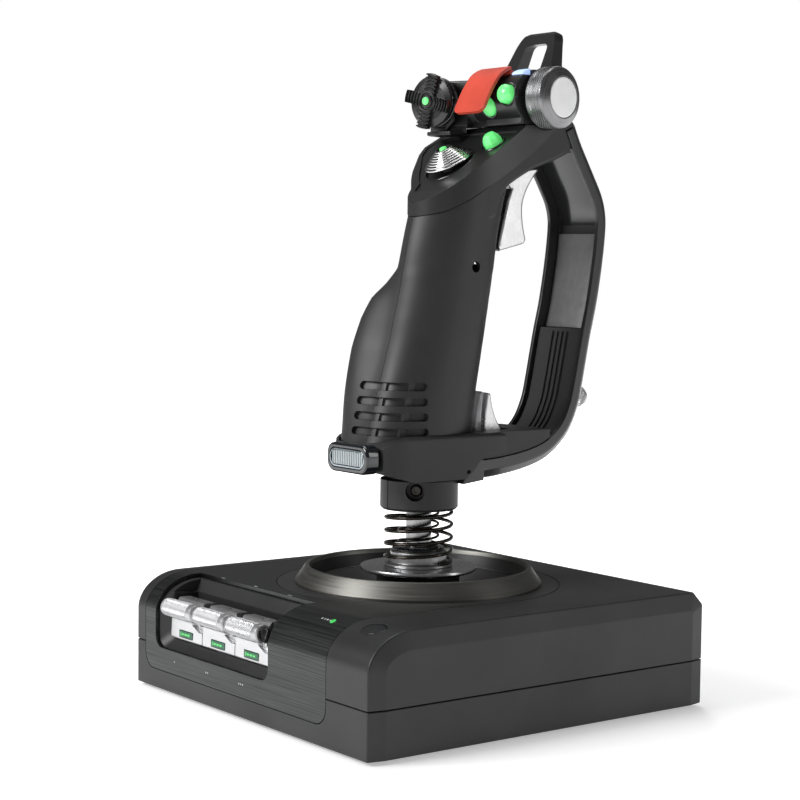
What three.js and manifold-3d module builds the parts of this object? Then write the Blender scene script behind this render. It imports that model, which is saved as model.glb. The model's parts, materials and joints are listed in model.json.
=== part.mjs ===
// A desktop flight joystick: a square base with three rocker toggles, a gimballed and sprung stick,
// and a grip with a finger guard, a sliding hand rest and a head full of buttons, hats and a dial.
// Units are millimetres and +Z is up. The user sits on the -Y side, and the trigger is on the +Y side.
// Each physical piece is one closed mesh with its own name and material.
import * as THREE from 'three';
import { mergeVertices } from 'three/addons/utils/BufferGeometryUtils.js';
import Module from 'manifold-3d';

const wasm = await Module();
wasm.setup();

// ---------- driving dimensions ----------
const GAP = 0.3;                 // clearance between pieces that meet
const HALF_WIDTH = 100;          // base, X
const HALF_DEPTH = 101;          // base, Y
const BASE_TOP = 56.8;
const SEAM_Z = 23.6;             // joint between tray and cover
const FOOT_H = 1.6;
const WALL = 3;
const EDGE = 8.5;                // chamfer round the base's sides: its reach over the front, top and rear
const EDGE_IN = 1.8;             // and its reach over the sides
const REAR_EDGE = 6.5;           // chamfer along the cover's rear upper edge
const FRONT_ROUND_Y = 24;        // the front upper edge is a quarter ellipse
const FRONT_ROUND_Z = 17.8;
const STICK_Y = 1.5;             // the stick's axis crosses the base here
const PIVOT_Z = 40;              // centre of the gimbal
const GUARD_BACK_Y = 110;        // furthest point of the finger guard
const CENTRE_SHIFT_Y = -(GUARD_BACK_Y - HALF_DEPTH) / 2;   // puts the origin under the middle

const FASCIA = { left: -90, right: 67, bottom: 11.2, thickness: 2, corner: 8 };
const POCKET = { left: -80.3, right: 21, bottom: 22.4, back: -80, lip: -75, backTop: 52.2 };
const TUB_WALL = 1.8;
const SKIRT_R = 70;              // the fascia stops at this circle round the stick
const RING = { outer: 61, inner: 52, rimZ: 65.4 };
const TOGGLE = { pitch: 29.4, first: -58.2, width: 28.8, barR: 4.5, barY: -96.4, barZ: 42.4 };
const TOGGLE_PIVOT = { y: -87, z: 36 };

const SHAFT_R = 6.35;
const PLATE_R = 29;
const PLATE_Z = 62.8;
const NECK_R = 19.3;
const NECK_Z = 93.4;
const NECK_TOP = 108.4;
const SPRING = { meanR: 16.4, wireR: 0.85, pitch: 7.2, from: 66.7, to: 92.2 };
const INNER_SPRING = { meanR: 9.7, wireR: 0.65, pitch: 6.6, from: 75.4, to: 92.4 };

const GRIP_HALF = 19.3;
const GRIP_WALL = 2.6;
const GRIP_BOTTOM = 127;
const SWELL_ANGLE = 220;         // degrees; the palm swell points to the rear left
const SWELL_SPREAD = 24;
const GUARD_HALF = 19.5;
const GUARD_DEPTH = 10;          // channel, front to back
const GUARD_RAIL = 2.5;
const REST_TOP = 131;
const PANEL_SLOPE = 36;          // degrees
const BARREL = { y: 56, z: 297, r: 13.5, left: -19.6, right: 19.6 };
const KNOB = { x: 20.1, y: 61.54, z: 296.6, r: 15.5, depth: 10.5, turn: 8 };

// ---------- materials ----------
const COLOURS = {
  shell: [0x2b2b2d, 0.55, 0], satin: [0x1c1c1e, 0.4, 0], rubber: [0x141415, 0.8, 0],
  gunmetal: [0x4a4c49, 0.4, 0.8], steel: [0x9a9b9c, 0.3, 1], chrome: [0xd8dadc, 0.12, 1],
  darkSteel: [0x3c3936, 0.35, 0.9], red: [0xd8442f, 0.45, 0], green: [0x6be27c, 0.35, 0],
  white: [0xdcdddc, 0.4, 0.1], lens: [0xc9d2d6, 0.15, 0], blue: [0x8fb4f0, 0.2, 0],
  board: [0x1f5a34, 0.6, 0],
};

function material(kind) {
  const [color, roughness, metalness] = COLOURS[kind];
  return new THREE.MeshStandardMaterial({ color, roughness, metalness });
}

// ---------- solids ----------
// Triangles of a closed geometry, with shared vertices merged and faces pointing out.
function solid(geometry) {
  const bare = geometry.clone();
  for (const name of Object.keys(bare.attributes)) if (name !== 'position') bare.deleteAttribute(name);
  const merged = mergeVertices(bare, 1e-4);
  const position = merged.attributes.position;
  const index = merged.index.array;
  const corner = (i) => new THREE.Vector3().fromBufferAttribute(position, i);
  const triVerts = [];
  let volume = 0;
  for (let i = 0; i < index.length; i += 3) {
    const [a, b, c] = [index[i], index[i + 1], index[i + 2]];
    if (a === b || b === c || c === a) continue;
    triVerts.push(a, b, c);
    volume += corner(a).dot(corner(b).cross(corner(c)));
  }
  if (volume < 0) triVerts.reverse();
  const vertProperties = new Float32Array(position.array);
  return new wasm.Manifold(new wasm.Mesh({ numProp: 3, vertProperties,
    triVerts: new Uint32Array(triVerts) }));
}

function geometryOf(manifold) {
  const mesh = manifold.getMesh();
  const geometry = new THREE.BufferGeometry();
  geometry.setAttribute('position', new THREE.BufferAttribute(new Float32Array(mesh.vertProperties), 3));
  geometry.setIndex(new THREE.BufferAttribute(new Uint32Array(mesh.triVerts), 1));
  return geometry;
}

const union = (...parts) => parts.reduce((a, b) => a.add(b));
const cut = (body, ...tools) => tools.reduce((a, b) => a.subtract(b), body);
const radians = (degrees) => (degrees * Math.PI) / 180;

function box(x0, x1, y0, y1, z0, z1) {
  const geometry = new THREE.BoxGeometry(x1 - x0, y1 - y0, z1 - z0);
  return solid(geometry.translate((x0 + x1) / 2, (y0 + y1) / 2, (z0 + z1) / 2));
}

const FACING = {
  x: new THREE.Matrix4().makeBasis(vec(0, 1, 0), vec(0, 0, 1), vec(1, 0, 0)),
  y: new THREE.Matrix4().makeBasis(vec(1, 0, 0), vec(0, 0, 1), vec(0, -1, 0)),
  z: new THREE.Matrix4(),
};

function vec(x, y, z) {
  return new THREE.Vector3(x, y, z);
}

function shapeOf(outline) {
  if (outline instanceof THREE.Shape) return outline;
  return new THREE.Shape(outline.map(([a, b]) => new THREE.Vector2(a, b)));
}

// An outline swept along an axis: (y, z) points for x, (x, z) points for y and (x, y) points for z.
function prism(axis, outline, from, to, bevel = 0, curveSegments = 4) {
  const options = {
    depth: to - from - 2 * bevel, curveSegments, bevelEnabled: bevel > 0,
    bevelThickness: bevel, bevelSize: bevel, bevelOffset: -bevel, bevelSegments: 1,
  };
  const geometry = new THREE.ExtrudeGeometry(shapeOf(outline), options).translate(0, 0, bevel);
  geometry.applyMatrix4(FACING[axis]);
  const along = axis === 'y' ? to : from;
  const shift = { x: [along, 0, 0], y: [0, along, 0], z: [0, 0, along] }[axis];
  return solid(geometry.translate(...shift));
}

// A rounded rectangle as an outline for prism().
function roundedRect(a0, a1, b0, b1, r) {
  const shape = new THREE.Shape();
  shape.moveTo(a0 + r, b0).lineTo(a1 - r, b0).absarc(a1 - r, b0 + r, r, -Math.PI / 2, 0, false);
  shape.lineTo(a1, b1 - r).absarc(a1 - r, b1 - r, r, 0, Math.PI / 2, false);
  shape.lineTo(a0 + r, b1).absarc(a0 + r, b1 - r, r, Math.PI / 2, Math.PI, false);
  shape.lineTo(a0, b0 + r).absarc(a0 + r, b0 + r, r, Math.PI, 1.5 * Math.PI, false);
  return shape;
}

// A turned piece about +Z from (radius, height) points that start and end on the axis or close up.
function turned(profile, segments = 24) {
  const closed = profile[0][0] > 0 ? [...profile, profile[0]] : profile;
  const points = closed.map(([r, h]) => new THREE.Vector2(r, h));
  return solid(new THREE.LatheGeometry(points, segments).rotateX(Math.PI / 2));
}

function disc(r, z0, z1, segments = 18) {
  return turned([[0, z0], [r, z0], [r, z1], [0, z1]], segments);
}

// Moves a solid made about +Z so that its +Z points along direction and its origin sits at place.
function aimed(manifold, place, direction) {
  const turn = new THREE.Quaternion().setFromUnitVectors(vec(0, 0, 1), direction.clone().normalize());
  return solid(geometryOf(manifold).applyMatrix4(new THREE.Matrix4().compose(place, turn, vec(1, 1, 1))));
}

function moved(manifold, x, y, z) {
  return solid(geometryOf(manifold).translate(x, y, z));
}

function rod(r, from, to, segments = 12) {
  const axis = to.clone().sub(from);
  return aimed(disc(r, 0, axis.length(), segments), from, axis);
}

// ---------- base ----------
function planOutline(inset = 0) {
  const x = HALF_WIDTH - inset;
  const y = HALF_DEPTH - inset;
  const long = y - EDGE;
  const short = x - EDGE_IN;
  return [[-short, -y], [short, -y], [x, -long], [x, long], [short, y], [-short, y], [-x, long],
    [-x, -long]];
}

// The cover's outer form above a height, pulled in by inset on every other side, with chamfered sides.
function coverForm(inset, bottom) {
  const x = HALF_WIDTH - inset;
  const y = HALF_DEPTH - inset;
  const top = BASE_TOP - inset;
  const rear = REAR_EDGE + 0.4 * inset;
  const round = { y: FRONT_ROUND_Y - inset, z: FRONT_ROUND_Z - inset };
  const centre = { y: -HALF_DEPTH + FRONT_ROUND_Y, z: BASE_TOP - FRONT_ROUND_Z };
  const side = new THREE.Shape();
  side.moveTo(-y, -20).lineTo(y, -20).lineTo(y, top - rear).lineTo(y - rear, top).lineTo(centre.y, top);
  side.absellipse(centre.y, centre.z, round.y, round.z, Math.PI / 2, Math.PI, false, 0);
  const options = {
    depth: 2 * (x - EDGE_IN), curveSegments: 8, bevelEnabled: true,
    bevelThickness: EDGE_IN, bevelSize: EDGE, bevelOffset: -EDGE, bevelSegments: 1,
  };
  const geometry = new THREE.ExtrudeGeometry(side, options).translate(0, 0, EDGE_IN - x);
  geometry.applyMatrix4(FACING.x);
  return solid(geometry).intersect(box(-x - 1, x + 1, -y - 1, y + 1, bottom, BASE_TOP + 1));
}

// Everything the fascia covers: its front outline swept back, less the round skirt at the stick.
function fasciaRegion(grow) {
  const { left, right, bottom, corner } = FASCIA;
  const sweep = prism('y', roundedRect(left - grow, right + grow, bottom - grow, BASE_TOP + 20, corner),
    -HALF_DEPTH - 5, 62);
  const skirt = moved(disc(SKIRT_R - grow, 0, BASE_TOP + 30, 40), 0, STICK_Y, 0);
  const rightRear = box(0, right + 20, -24 + grow, 100, 0, BASE_TOP + 30);
  return cut(sweep, skirt, rightRear);
}

function pocketOpening(grow) {
  const { left, right, bottom, lip } = POCKET;
  const front = roundedRect(left - grow, right + grow, bottom - grow, BASE_TOP + 20, 6);
  return prism('y', front, -HALF_DEPTH - 5, lip + grow);
}

function baseTray() {
  const outer = prism('z', planOutline(), FOOT_H, SEAM_Z - GAP / 2);
  const hollow = prism('z', planOutline(WALL), FOOT_H + WALL, SEAM_Z + 5);
  const fasciaBack = -HALF_DEPTH + FASCIA.thickness + GAP;
  const fasciaSeat = fasciaRegion(GAP).intersect(box(-95, 95, -HALF_DEPTH - 5, fasciaBack, 0, 60));
  const { left, right, bottom } = POCKET;
  const reach = TUB_WALL + GAP;
  const tubSeat = box(left - reach, right + reach, -HALF_DEPTH - 5, 0, bottom - reach, 60);
  return cut(outer, hollow, fasciaSeat, tubSeat);
}

function baseCover() {
  const shell = coverForm(0, SEAM_Z + GAP / 2).subtract(coverForm(WALL + 1.2, SEAM_Z - 1));
  const plateDepth = FASCIA.thickness + GAP;
  const seat = coverForm(-1, 5).subtract(coverForm(plateDepth, 4)).intersect(fasciaRegion(GAP));
  const ringHole = moved(disc(RING.outer - 5.5, 40, 70, 32), 0, STICK_Y, 0);
  const inlet = rod(5.3, vec(60, HALF_DEPTH - 10, 36), vec(60, HALF_DEPTH + 5, 36));
  return cut(shell, seat, pocketOpening(2.4), ringHole, inlet);
}

function fasciaPlate() {
  const skin = coverForm(0, FASCIA.bottom - 1).subtract(coverForm(FASCIA.thickness, FASCIA.bottom - 2));
  return cut(skin.intersect(fasciaRegion(0)), pocketOpening(0));
}

// The dark tub behind the toggles: a sloping floor, two ends and a rear wall that leans back at the top.
function toggleBezel() {
  const { left, right, back, lip, bottom, backTop } = POCKET;
  const t = TUB_WALL;
  const front = -HALF_DEPTH + FASCIA.thickness + GAP;
  const roof = BASE_TOP - FASCIA.thickness - GAP;
  const rear = lip + t;
  const outer = [[front, bottom - t], [rear, bottom - t], [rear, roof], [front, roof]];
  const inner = [[front - 9, bottom], [front + 2, bottom], [back, bottom + 4], [back, backTop],
    [lip, BASE_TOP + 1], [front - 9, BASE_TOP + 1]];
  const tub = prism('x', outer, left - t, right + t).intersect(coverForm(FASCIA.thickness + GAP, 10));
  const hole = prism('x', inner, left, right);
  return cut(tub, hole);
}

function toggleBody() {
  const half = TOGGLE.width / 2;
  const side = [[-96.8, 25.6], [-92, 25.6], [-86, 30], [-83.5, 38], [-85, 47.2], [-92, 47.6], [-94, 44],
    [-96.4, 37.4]];
  const slot = box(-6, 2, -90, -84, 45.8, 50);
  const bar = rod(TOGGLE.barR, vec(-half - 4.4, TOGGLE.barY, TOGGLE.barZ),
    vec(half - 4.6, TOGGLE.barY, TOGGLE.barZ), 20);
  const web = box(-half, half - 4.6, -98, -92, 38.5, 46);
  const screwHole = rod(2.4, vec(half - 6.6, TOGGLE.barY, TOGGLE.barZ),
    vec(half, TOGGLE.barY, TOGGLE.barZ), 12);
  const bore = rod(1.9, vec(-half - 1, TOGGLE_PIVOT.y, TOGGLE_PIVOT.z),
    vec(half + 1, TOGGLE_PIVOT.y, TOGGLE_PIVOT.z), 12);
  const window = box(-6.3, 6.3, -98, -95.4, 29.2, 32.8);
  const barNotch = box(half - 5, half + 2, -110, -82, 34.8, 60);
  return cut(union(prism('x', side, -half, half), web, bar), slot, screwHole, bore, window, barNotch);
}

function toggleLens() {
  return box(-6, 6, -96.9, -95.7, 29.5, 32.5);
}

function collarRing() {
  const { outer, inner, rimZ } = RING;
  const foot = BASE_TOP + GAP;
  const profile = [[inner, foot], [outer, foot], [outer, foot + 0.8], [57, 63.4], [55.6, rimZ],
    [53.6, rimZ], [inner + 0.6, 60]];
  return moved(turned(profile, 40), 0, STICK_Y, 0);
}

// The dark bowl inside the ring, with an open throat for the stick.
function gimbalDish() {
  const profile = [[28, 45], [29.6, 45], [29.6, 48.4], [52, 54.2], [55, 54.2], [55, 56.4], [51.6, 56.4],
    [51.6, 57.4], [49.4, 57.4], [36, 50.4], [28, 50.4]];
  return moved(turned(profile, 32), 0, STICK_Y, 0);
}

function gimbalBracket() {
  const plate = box(-20, 20, STICK_Y - 32, STICK_Y + 32, 5, 9);
  const post = (side) => box(-8, 8, STICK_Y + side * 27 - 2.5, STICK_Y + side * 27 + 2.5, 8, 44.4);
  const bore = rod(3.5, vec(0, STICK_Y - 40, PIVOT_Z), vec(0, STICK_Y + 40, PIVOT_Z));
  return cut(union(plate, post(-1), post(1)), bore);
}

function gimbalRing() {
  const ring = moved(turned([[14.5, 35], [19.5, 35], [19.5, 45], [14.5, 45]], 32), 0, STICK_Y, 0);
  const pin = (side) => rod(3, vec(0, STICK_Y + side * 17, PIVOT_Z),
    vec(0, STICK_Y + side * 29.4, PIVOT_Z));
  const bore = rod(3.5, vec(-30, STICK_Y, PIVOT_Z), vec(30, STICK_Y, PIVOT_Z));
  return cut(union(ring, pin(-1), pin(1)), bore);
}

function pivotBlock() {
  const block = box(-9, 9, STICK_Y - 8, STICK_Y + 8, 33, 46.8);
  const pins = rod(3, vec(-20, STICK_Y, PIVOT_Z), vec(20, STICK_Y, PIVOT_Z));
  return union(block, pins);
}

function foot(x, y) {
  return moved(turned([[0, 0], [8.4, 0], [9, 0.6], [9, FOOT_H - GAP], [0, FOOT_H - GAP]], 20), x, y, 0);
}

// ---------- stick ----------
class Helix extends THREE.Curve {
  constructor(size) {
    super();
    this.size = size;
    this.turns = (size.to - size.from) / size.pitch;
  }

  getPoint(t, target = new THREE.Vector3()) {
    const { meanR, from, to } = this.size;
    const angle = t * this.turns * 2 * Math.PI;
    return target.set(meanR * Math.cos(angle), meanR * Math.sin(angle), from + t * (to - from));
  }
}

function coilSpring(size) {
  const extrudePath = new Helix(size);
  const wire = new THREE.Shape().absarc(0, 0, size.wireR, 0, 2 * Math.PI, false);
  const options = { steps: Math.round(extrudePath.turns * 10), curveSegments: 3, bevelEnabled: false,
    extrudePath };
  return moved(solid(new THREE.ExtrudeGeometry(wire, options)), 0, STICK_Y, 0);
}

const onStick = (profile, segments) => moved(turned(profile, segments), 0, STICK_Y, 0);

function stickShaft() {
  return onStick([[0, 47.1], [SHAFT_R, 47.1], [SHAFT_R, 134], [0, 134]], 24);
}

// The cup under the spring plate, with eight notches round its wall.
function plateHub() {
  const top = PLATE_Z - GAP;
  const bore = SHAFT_R + GAP;
  const cup = turned([[bore, 59], [18.6, 59], [18.6, 52.6], [20.6, 52.6], [20.6, top], [bore, top]], 32);
  const notches = Array.from({ length: 8 }, (_, i) => {
    const angle = ((i + 0.5) / 8) * 2 * Math.PI;
    const place = vec(19.6 * Math.cos(angle), 19.6 * Math.sin(angle), 52);
    return aimed(box(-2.5, 2.5, -2.5, 2.5, -1, 6), place, vec(0, 0, 1));
  });
  return moved(cut(cup, ...notches), 0, STICK_Y, 0);
}

function springPlate() {
  const bore = SHAFT_R + GAP;
  return onStick([[bore, PLATE_Z], [PLATE_R - 1, PLATE_Z], [PLATE_R, PLATE_Z + 1],
    [PLATE_R - 0.6, PLATE_Z + 2.3],
    [bore, PLATE_Z + 2.3]], 32);
}

function springSeat() {
  const bore = SHAFT_R + GAP;
  const foot = PLATE_Z + 2.3 + GAP;
  return onStick([[bore, foot], [14.4, foot], [14.4, 67], [13.8, 67.4], [13.8, 73.6], [12.8, 74.6],
    [bore, 74.6]], 24);
}

// ---------- grip ----------
// Stations up the grip: height, rear (user) face, front face and how far the palm swell stands out.
const STATIONS = [
  { z: 112, rear: -35, front: 27.5, swell: 11 },
  { z: 130, rear: -30.6, front: 30, swell: 12.5 },
  { z: 151, rear: -25, front: 32.6, swell: 15.5 },
  { z: 172, rear: -19, front: 36, swell: 17 },
  { z: 187, rear: -15.4, front: 38.4, swell: 15 },
  { z: 197, rear: -13, front: 40, swell: 11.5 },
  { z: 204, rear: -11.4, front: 41.2, swell: 5.5 },
  { z: 212, rear: -9.8, front: 42.6, swell: 0.5 },
  { z: 237, rear: -4.3, front: 46.4, swell: 0 },
  { z: 270, rear: 3, front: 54, swell: 0 },
];

function stationAt(z) {
  const upper = Math.max(1, STATIONS.findIndex((s) => s.z >= z));
  const [a, b] = [STATIONS[upper - 1], STATIONS[upper]];
  const t = (z - a.z) / (b.z - a.z);
  const mix = (key) => THREE.MathUtils.lerp(a[key], b[key], t);
  return { rear: mix('rear'), front: mix('front'), swell: mix('swell') };
}

// A point of the grip's section: an egg shape whose rear is narrower, with a bump at the rear left.
function sectionPoint(angle, z, inset, lift = vec(0, 0, 0)) {
  const { rear, front, swell } = stationAt(z);
  const middle = (rear + front) / 2;
  const depth = (front - rear) / 2 - inset;
  const power = Math.sin(angle) < 0 && swell < 1 ? 1.12 : 1;
  const c = Math.sign(Math.cos(angle)) * Math.abs(Math.cos(angle)) ** power;
  const away = ((THREE.MathUtils.radToDeg(angle) - SWELL_ANGLE + 540) % 360) - 180;
  const bump = swell * Math.exp(-((away / SWELL_SPREAD) ** 2));
  const x = c * (GRIP_HALF - inset) + bump * Math.cos(angle);
  const y = middle + Math.sin(angle) * (depth + bump);
  return vec(x, y, z).add(lift);
}

// A closed body through the grip's sections between two heights.
function gripBody(z0, z1, inset = 0, segments = 20) {
  const levels = [z0, ...STATIONS.map((s) => s.z).filter((z) => z > z0 + 1 && z < z1 - 1), z1];
  const geometry = new THREE.CylinderGeometry(1, 1, 1, segments, levels.length - 1);
  const position = geometry.attributes.position;
  for (let i = 0; i < position.count; i += 1) {
    const level = Math.round((position.getY(i) + 0.5) * (levels.length - 1));
    const radius = Math.hypot(position.getX(i), position.getZ(i));
    const angle = Math.atan2(position.getZ(i), position.getX(i));
    const rim = sectionPoint((angle + 2 * Math.PI) % (2 * Math.PI), levels[level], inset);
    const { rear, front } = stationAt(levels[level]);
    const middle = vec(0, (rear + front) / 2, levels[level]);
    const point = middle.lerp(rim, Math.min(1, radius));
    position.setXYZ(i, point.x, point.y, point.z);
  }
  return solid(geometry);
}

// Side outlines are (y, z) points.
const SEAM_LINE = [[-30, 231], [-4.5, 236.6], [5, 239.6], [16, 245], [36, 257], [55.7, 270], [69, 281.5],
  [78, 290]];

function gripCasing() {
  const below = SEAM_LINE.map(([y, z]) => [y, z - GAP / 2]);
  const region = prism('x', [[-70, 100], [120, 100], [120, 290], ...below.reverse(), [-70, 231]], -60, 60);
  const yoke = [[16, 234], [33, 236], [36.5, 247], [41, 252.6], [49, 257.3], [57, 261.5], [72, 266.5],
    [80, 270], [86.8, 278], [84, 286], [76, 290], [60, 290], [16, 262]];
  const outer = union(gripBody(GRIP_BOTTOM, 269), prism('x', yoke, -GRIP_HALF + 0.6, GRIP_HALF - 0.6, 3));
  const hollow = gripBody(GRIP_BOTTOM - 2, 236, GRIP_WALL);
  const triggerSlot = box(-8, 8, 33, 74, 214, 264.2);
  const pinkieSlot = box(-8, 8, 24, 60, GRIP_BOTTOM - 2, 152);
  const screwHole = rod(2.6, vec(14, 20.2, 212.6), vec(26, 20.2, 212.6), 12);
  const guardSeat = prism('x', guardBand(-8, GUARD_DEPTH + GAP, 0, 0.3), -60, 60);
  return cut(outer.intersect(region), hollow, guardSeat, triggerSlot, pinkieSlot, screwHole,
    ...ventSlots());
}

const VENTS = { top: 154.6, pitch: 7.3, end: -7.5 };

// Four slots round the rear of the grip, one above another, that run forward on the right side.
function ventSlots() {
  return [0, 1, 2, 3].map((i) => {
    const z = VENTS.top - i * VENTS.pitch;
    const { rear } = stationAt(z);
    const mouth = roundedRect(-12, 17.5, z - 1.9, z + 1.9, 1.85);
    const side = roundedRect(rear + 2, VENTS.end, z - 1.9, z + 1.9, 1.85);
    return union(prism('y', mouth, rear - 20, rear + 9, 0, 3), prism('x', side, 13, 30, 0, 3));
  });
}

function gripHalf(side) {
  const keep = side > 0 ? box(GAP / 2, 60, -80, 120, 100, 300) : box(-60, -GAP / 2, -80, 120, 100, 300);
  return gripCasing().intersect(keep);
}

function handleNeck() {
  const bore = SHAFT_R + GAP;
  const neck = onStick([[bore, NECK_Z], [NECK_R - 1.4, NECK_Z], [NECK_R, NECK_Z + 1.4], [NECK_R, NECK_TOP],
    [15, NECK_TOP], [15, 140], [bore, 140]], 28);
  const outward = vec(0.72, -0.69, 0);
  const centre = vec(0, STICK_Y, 103.6);
  const hole = rod(4.7, centre.clone().addScaledVector(outward, 13),
    centre.clone().addScaledVector(outward, 24), 16);
  return neck.subtract(hole);
}

// ---------- finger guard and hand rest ----------
// The guard's back runs down from the head, round the elbow and the bottom corner to the neck.
const GUARD_BACK = [[86.6, 286], [91.5, 276], [99.5, 262.5], [106.4, 250.6], [109.4, 241], [109.8, 231],
  [107.8, 213], [104.4, 193], [100.4, 176], [95.8, 153], [92.4, 140], [85.6, 127.4], [74, 117.4],
  [60, 112], [40, 108.6], [21, 107.4]];

// The band between two depths in from the guard's back, from the top (0) to the bottom (1) of the path.
function guardBand(near, far, start = 0, end = 1, steps = 16) {
  const path = new THREE.SplineCurve(GUARD_BACK.map(([y, z]) => new THREE.Vector2(y, z)));
  const at = (t, depth) => {
    const point = path.getPointAt(t);
    const along = path.getTangentAt(t);
    return [point.x + along.y * depth, point.y - along.x * depth];
  };
  const stops = Array.from({ length: steps + 1 }, (_, i) => start + ((end - start) * i) / steps);
  return [...stops.map((t) => at(t, near)), ...stops.reverse().map((t) => at(t, far))];
}

function guardFrame() {
  const layers = [[GUARD_HALF, 4.5, GUARD_DEPTH], [GUARD_HALF - 1.3, 1.5, 4.6], [GUARD_HALF - 4.5, 0, 1.6]];
  const body = union(...layers.map(([half, near, far]) => prism('x', guardBand(near, far, 0.004, 0.985),
    -half, half)));
  const half = GUARD_HALF - GUARD_RAIL;
  const channel = prism('x', guardBand(3, GUARD_DEPTH + 3, 0, 1.0), -half, half);
  const neckClear = moved(disc(NECK_R + GAP, 90, 112, 36), 0, STICK_Y, 0);
  const knobSlot = prism('x', guardBand(-3, 4, 0.54, 0.632, 6), -3.4, 3.4);
  const heelSide = [[13.9, 106.1], [27, 107.5], [27, 118], [24.9, 118.1], [22.1, 116.2],
    [19.1, 112.5], [14.1, 108.3]];
  const heel = prism('x', heelSide, -GUARD_HALF, GUARD_HALF);
  const band = cut(body, channel, knobSlot, box(-60, 60, -60, 21.5, 90, 112));
  return union(band, heel).subtract(neckClear);
}

function guardInsert() {
  return prism('x', guardBand(3.3, 4.2, 0.26, 0.47, 6), -16.4, 16.4);
}

// A rubber-faced block that slides in the guard's channel, with three ribs down its face.
function restGuide() {
  const block = prism('x', guardBand(4.7, 8.2, 0.475, 0.735, 6), -16.3, 16.3);
  const ribs = [-4.6, 0, 4.6].map((x) => prism('x', guardBand(8.1, 9.2, 0.48, 0.73, 6), x - 1.1, x + 1.1));
  return union(block, ...ribs);
}

// How far the hand rest climbs the grip, for the clearance that it needs.
const REST_RISE = { y: 1.2, z: 5.9 };

function handRest() {
  const side = [[-34, 113.6], [-26, 111.4], [-18, 109], [13.6, 109], [18.6, 113], [21.6, 116.6],
    [24.6, 119.1], [40, 120.8], [50, 123.4], [66, 127.4], [76, 134], [77.5, 140], [70, 133],
    [60, REST_TOP], [-31, REST_TOP], [-34, 128]];
  const plan = new THREE.Shape();
  plan.moveTo(-16, -34.2).lineTo(16, -34.2).quadraticCurveTo(21.4, -30, 21.8, -20).lineTo(21.8, 26);
  plan.quadraticCurveTo(21, 42, 16.4, 48).lineTo(16.4, 80).lineTo(-16.4, 80).lineTo(-16.4, 48);
  plan.quadraticCurveTo(-22, 42, -23, 26).lineTo(-32, -16).quadraticCurveTo(-32.5, -34.2, -18, -34.2);
  const overRails = prism('x', guardBand(GUARD_DEPTH + 0.5, GUARD_DEPTH + 24, 0.66, 0.97), -19.4, 19.4)
    .intersect(box(-30, 30, 24.6, 70, 110, REST_TOP));
  const body = union(prism('x', side, -40, 40).intersect(prism('z', plan, 100, 145)), overRails);
  const grip = gripBody(112, 144, -0.6);
  const raisedGrip = moved(grip, 0, -REST_RISE.y, -REST_RISE.z);
  const neckHole = [0, -REST_RISE.y - 0.2].map((y) => moved(disc(15.6, 100, 116, 28), 0, STICK_Y + y, 0));
  const leverPocket = box(-8.4, 8.4, 20, 54, 122, 150);
  return cut(body, grip, raisedGrip, ...neckHole, leverPocket);
}

function noseBezel() {
  const outer = prism('y', roundedRect(-16.8, 16.8, 113.2, 127.6, 5.6), -43, -35, 1.2);
  const window = prism('y', roundedRect(-14, 14, 116, 124.8, 4.2), -46, -41);
  return outer.subtract(window);
}

function noseLens() {
  return prism('y', roundedRect(-13.7, 13.7, 116.3, 124.5, 4), -42.6, -41 - GAP);
}

const GUARD_KNOB = { t: 0.612 };

// The frame of the height lock: where its axis leaves the guard's back, and which way it points.
function lockAxis() {
  const path = new THREE.SplineCurve(GUARD_BACK.map(([y, z]) => new THREE.Vector2(y, z)));
  const point = path.getPointAt(GUARD_KNOB.t);
  const along = path.getTangentAt(GUARD_KNOB.t);
  return { place: vec(0, point.x, point.y), out: vec(0, -along.y, along.x) };
}

function heightLockKnob() {
  const { place, out } = lockAxis();
  const profile = [[0, -4.3], [2.8, -4.3], [2.8, 0.8], [6, 0.8], [6.2, 9], [5.6, 12.4], [4, 14.9],
    [1.8, 16], [0, 16.2]];
  return aimed(turned(profile, 20), place, out);
}

// ---------- trigger and pinkie lever ----------
const TRIGGER_PIVOT = { y: 50.6, z: 260.2 };

function trigger() {
  const side = new THREE.Shape();
  side.moveTo(71.4, 262.4).quadraticCurveTo(61.4, 252, 60.4, 243).quadraticCurveTo(60.2, 236, 62.9, 227);
  side.quadraticCurveTo(63, 224.6, 60, 224).lineTo(46, 220.6).lineTo(44.4, 224).lineTo(50, 246);
  side.lineTo(52.6, 252).lineTo(47.6, 256.6).lineTo(46.4, 260).lineTo(48, 263).lineTo(52, 263.7);
  side.lineTo(60, 262).lineTo(69, 263);
  const blade = prism('x', side, -6.8, 6.8, 1);
  const bore = rod(1.9, vec(-9, TRIGGER_PIVOT.y, TRIGGER_PIVOT.z),
    vec(9, TRIGGER_PIVOT.y, TRIGGER_PIVOT.z), 12);
  return blade.subtract(bore);
}

function triggerPin() {
  const { y, z } = TRIGGER_PIVOT;
  return rod(1.6, vec(-7.7, y, z), vec(7.7, y, z), 12);
}

function pinkieLever() {
  const side = new THREE.Shape();
  side.moveTo(39.2, 149.8).lineTo(41.4, 149.2).quadraticCurveTo(43, 138, 48.6, 131.6).lineTo(47.6, 129.4);
  side.lineTo(37.4, 128.8).lineTo(37.8, 140);
  return prism('x', side, -6.6, 6.6, 0.7);
}

function pinkieHousing() {
  const side = [[30.6, 128.6], [34.6, 128.6], [34.8, 140], [35.8, 149.8], [35, 150.8], [33.6, 149.6],
    [31.4, 140]];
  return prism('x', side, -7.4, 7.4);
}

// ---------- head ----------
const panelZ = (y) => 248 + (y - 2.5) * Math.tan(radians(PANEL_SLOPE));
const panelOut = vec(0, -Math.sin(radians(PANEL_SLOPE)), Math.cos(radians(PANEL_SLOPE)));

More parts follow.
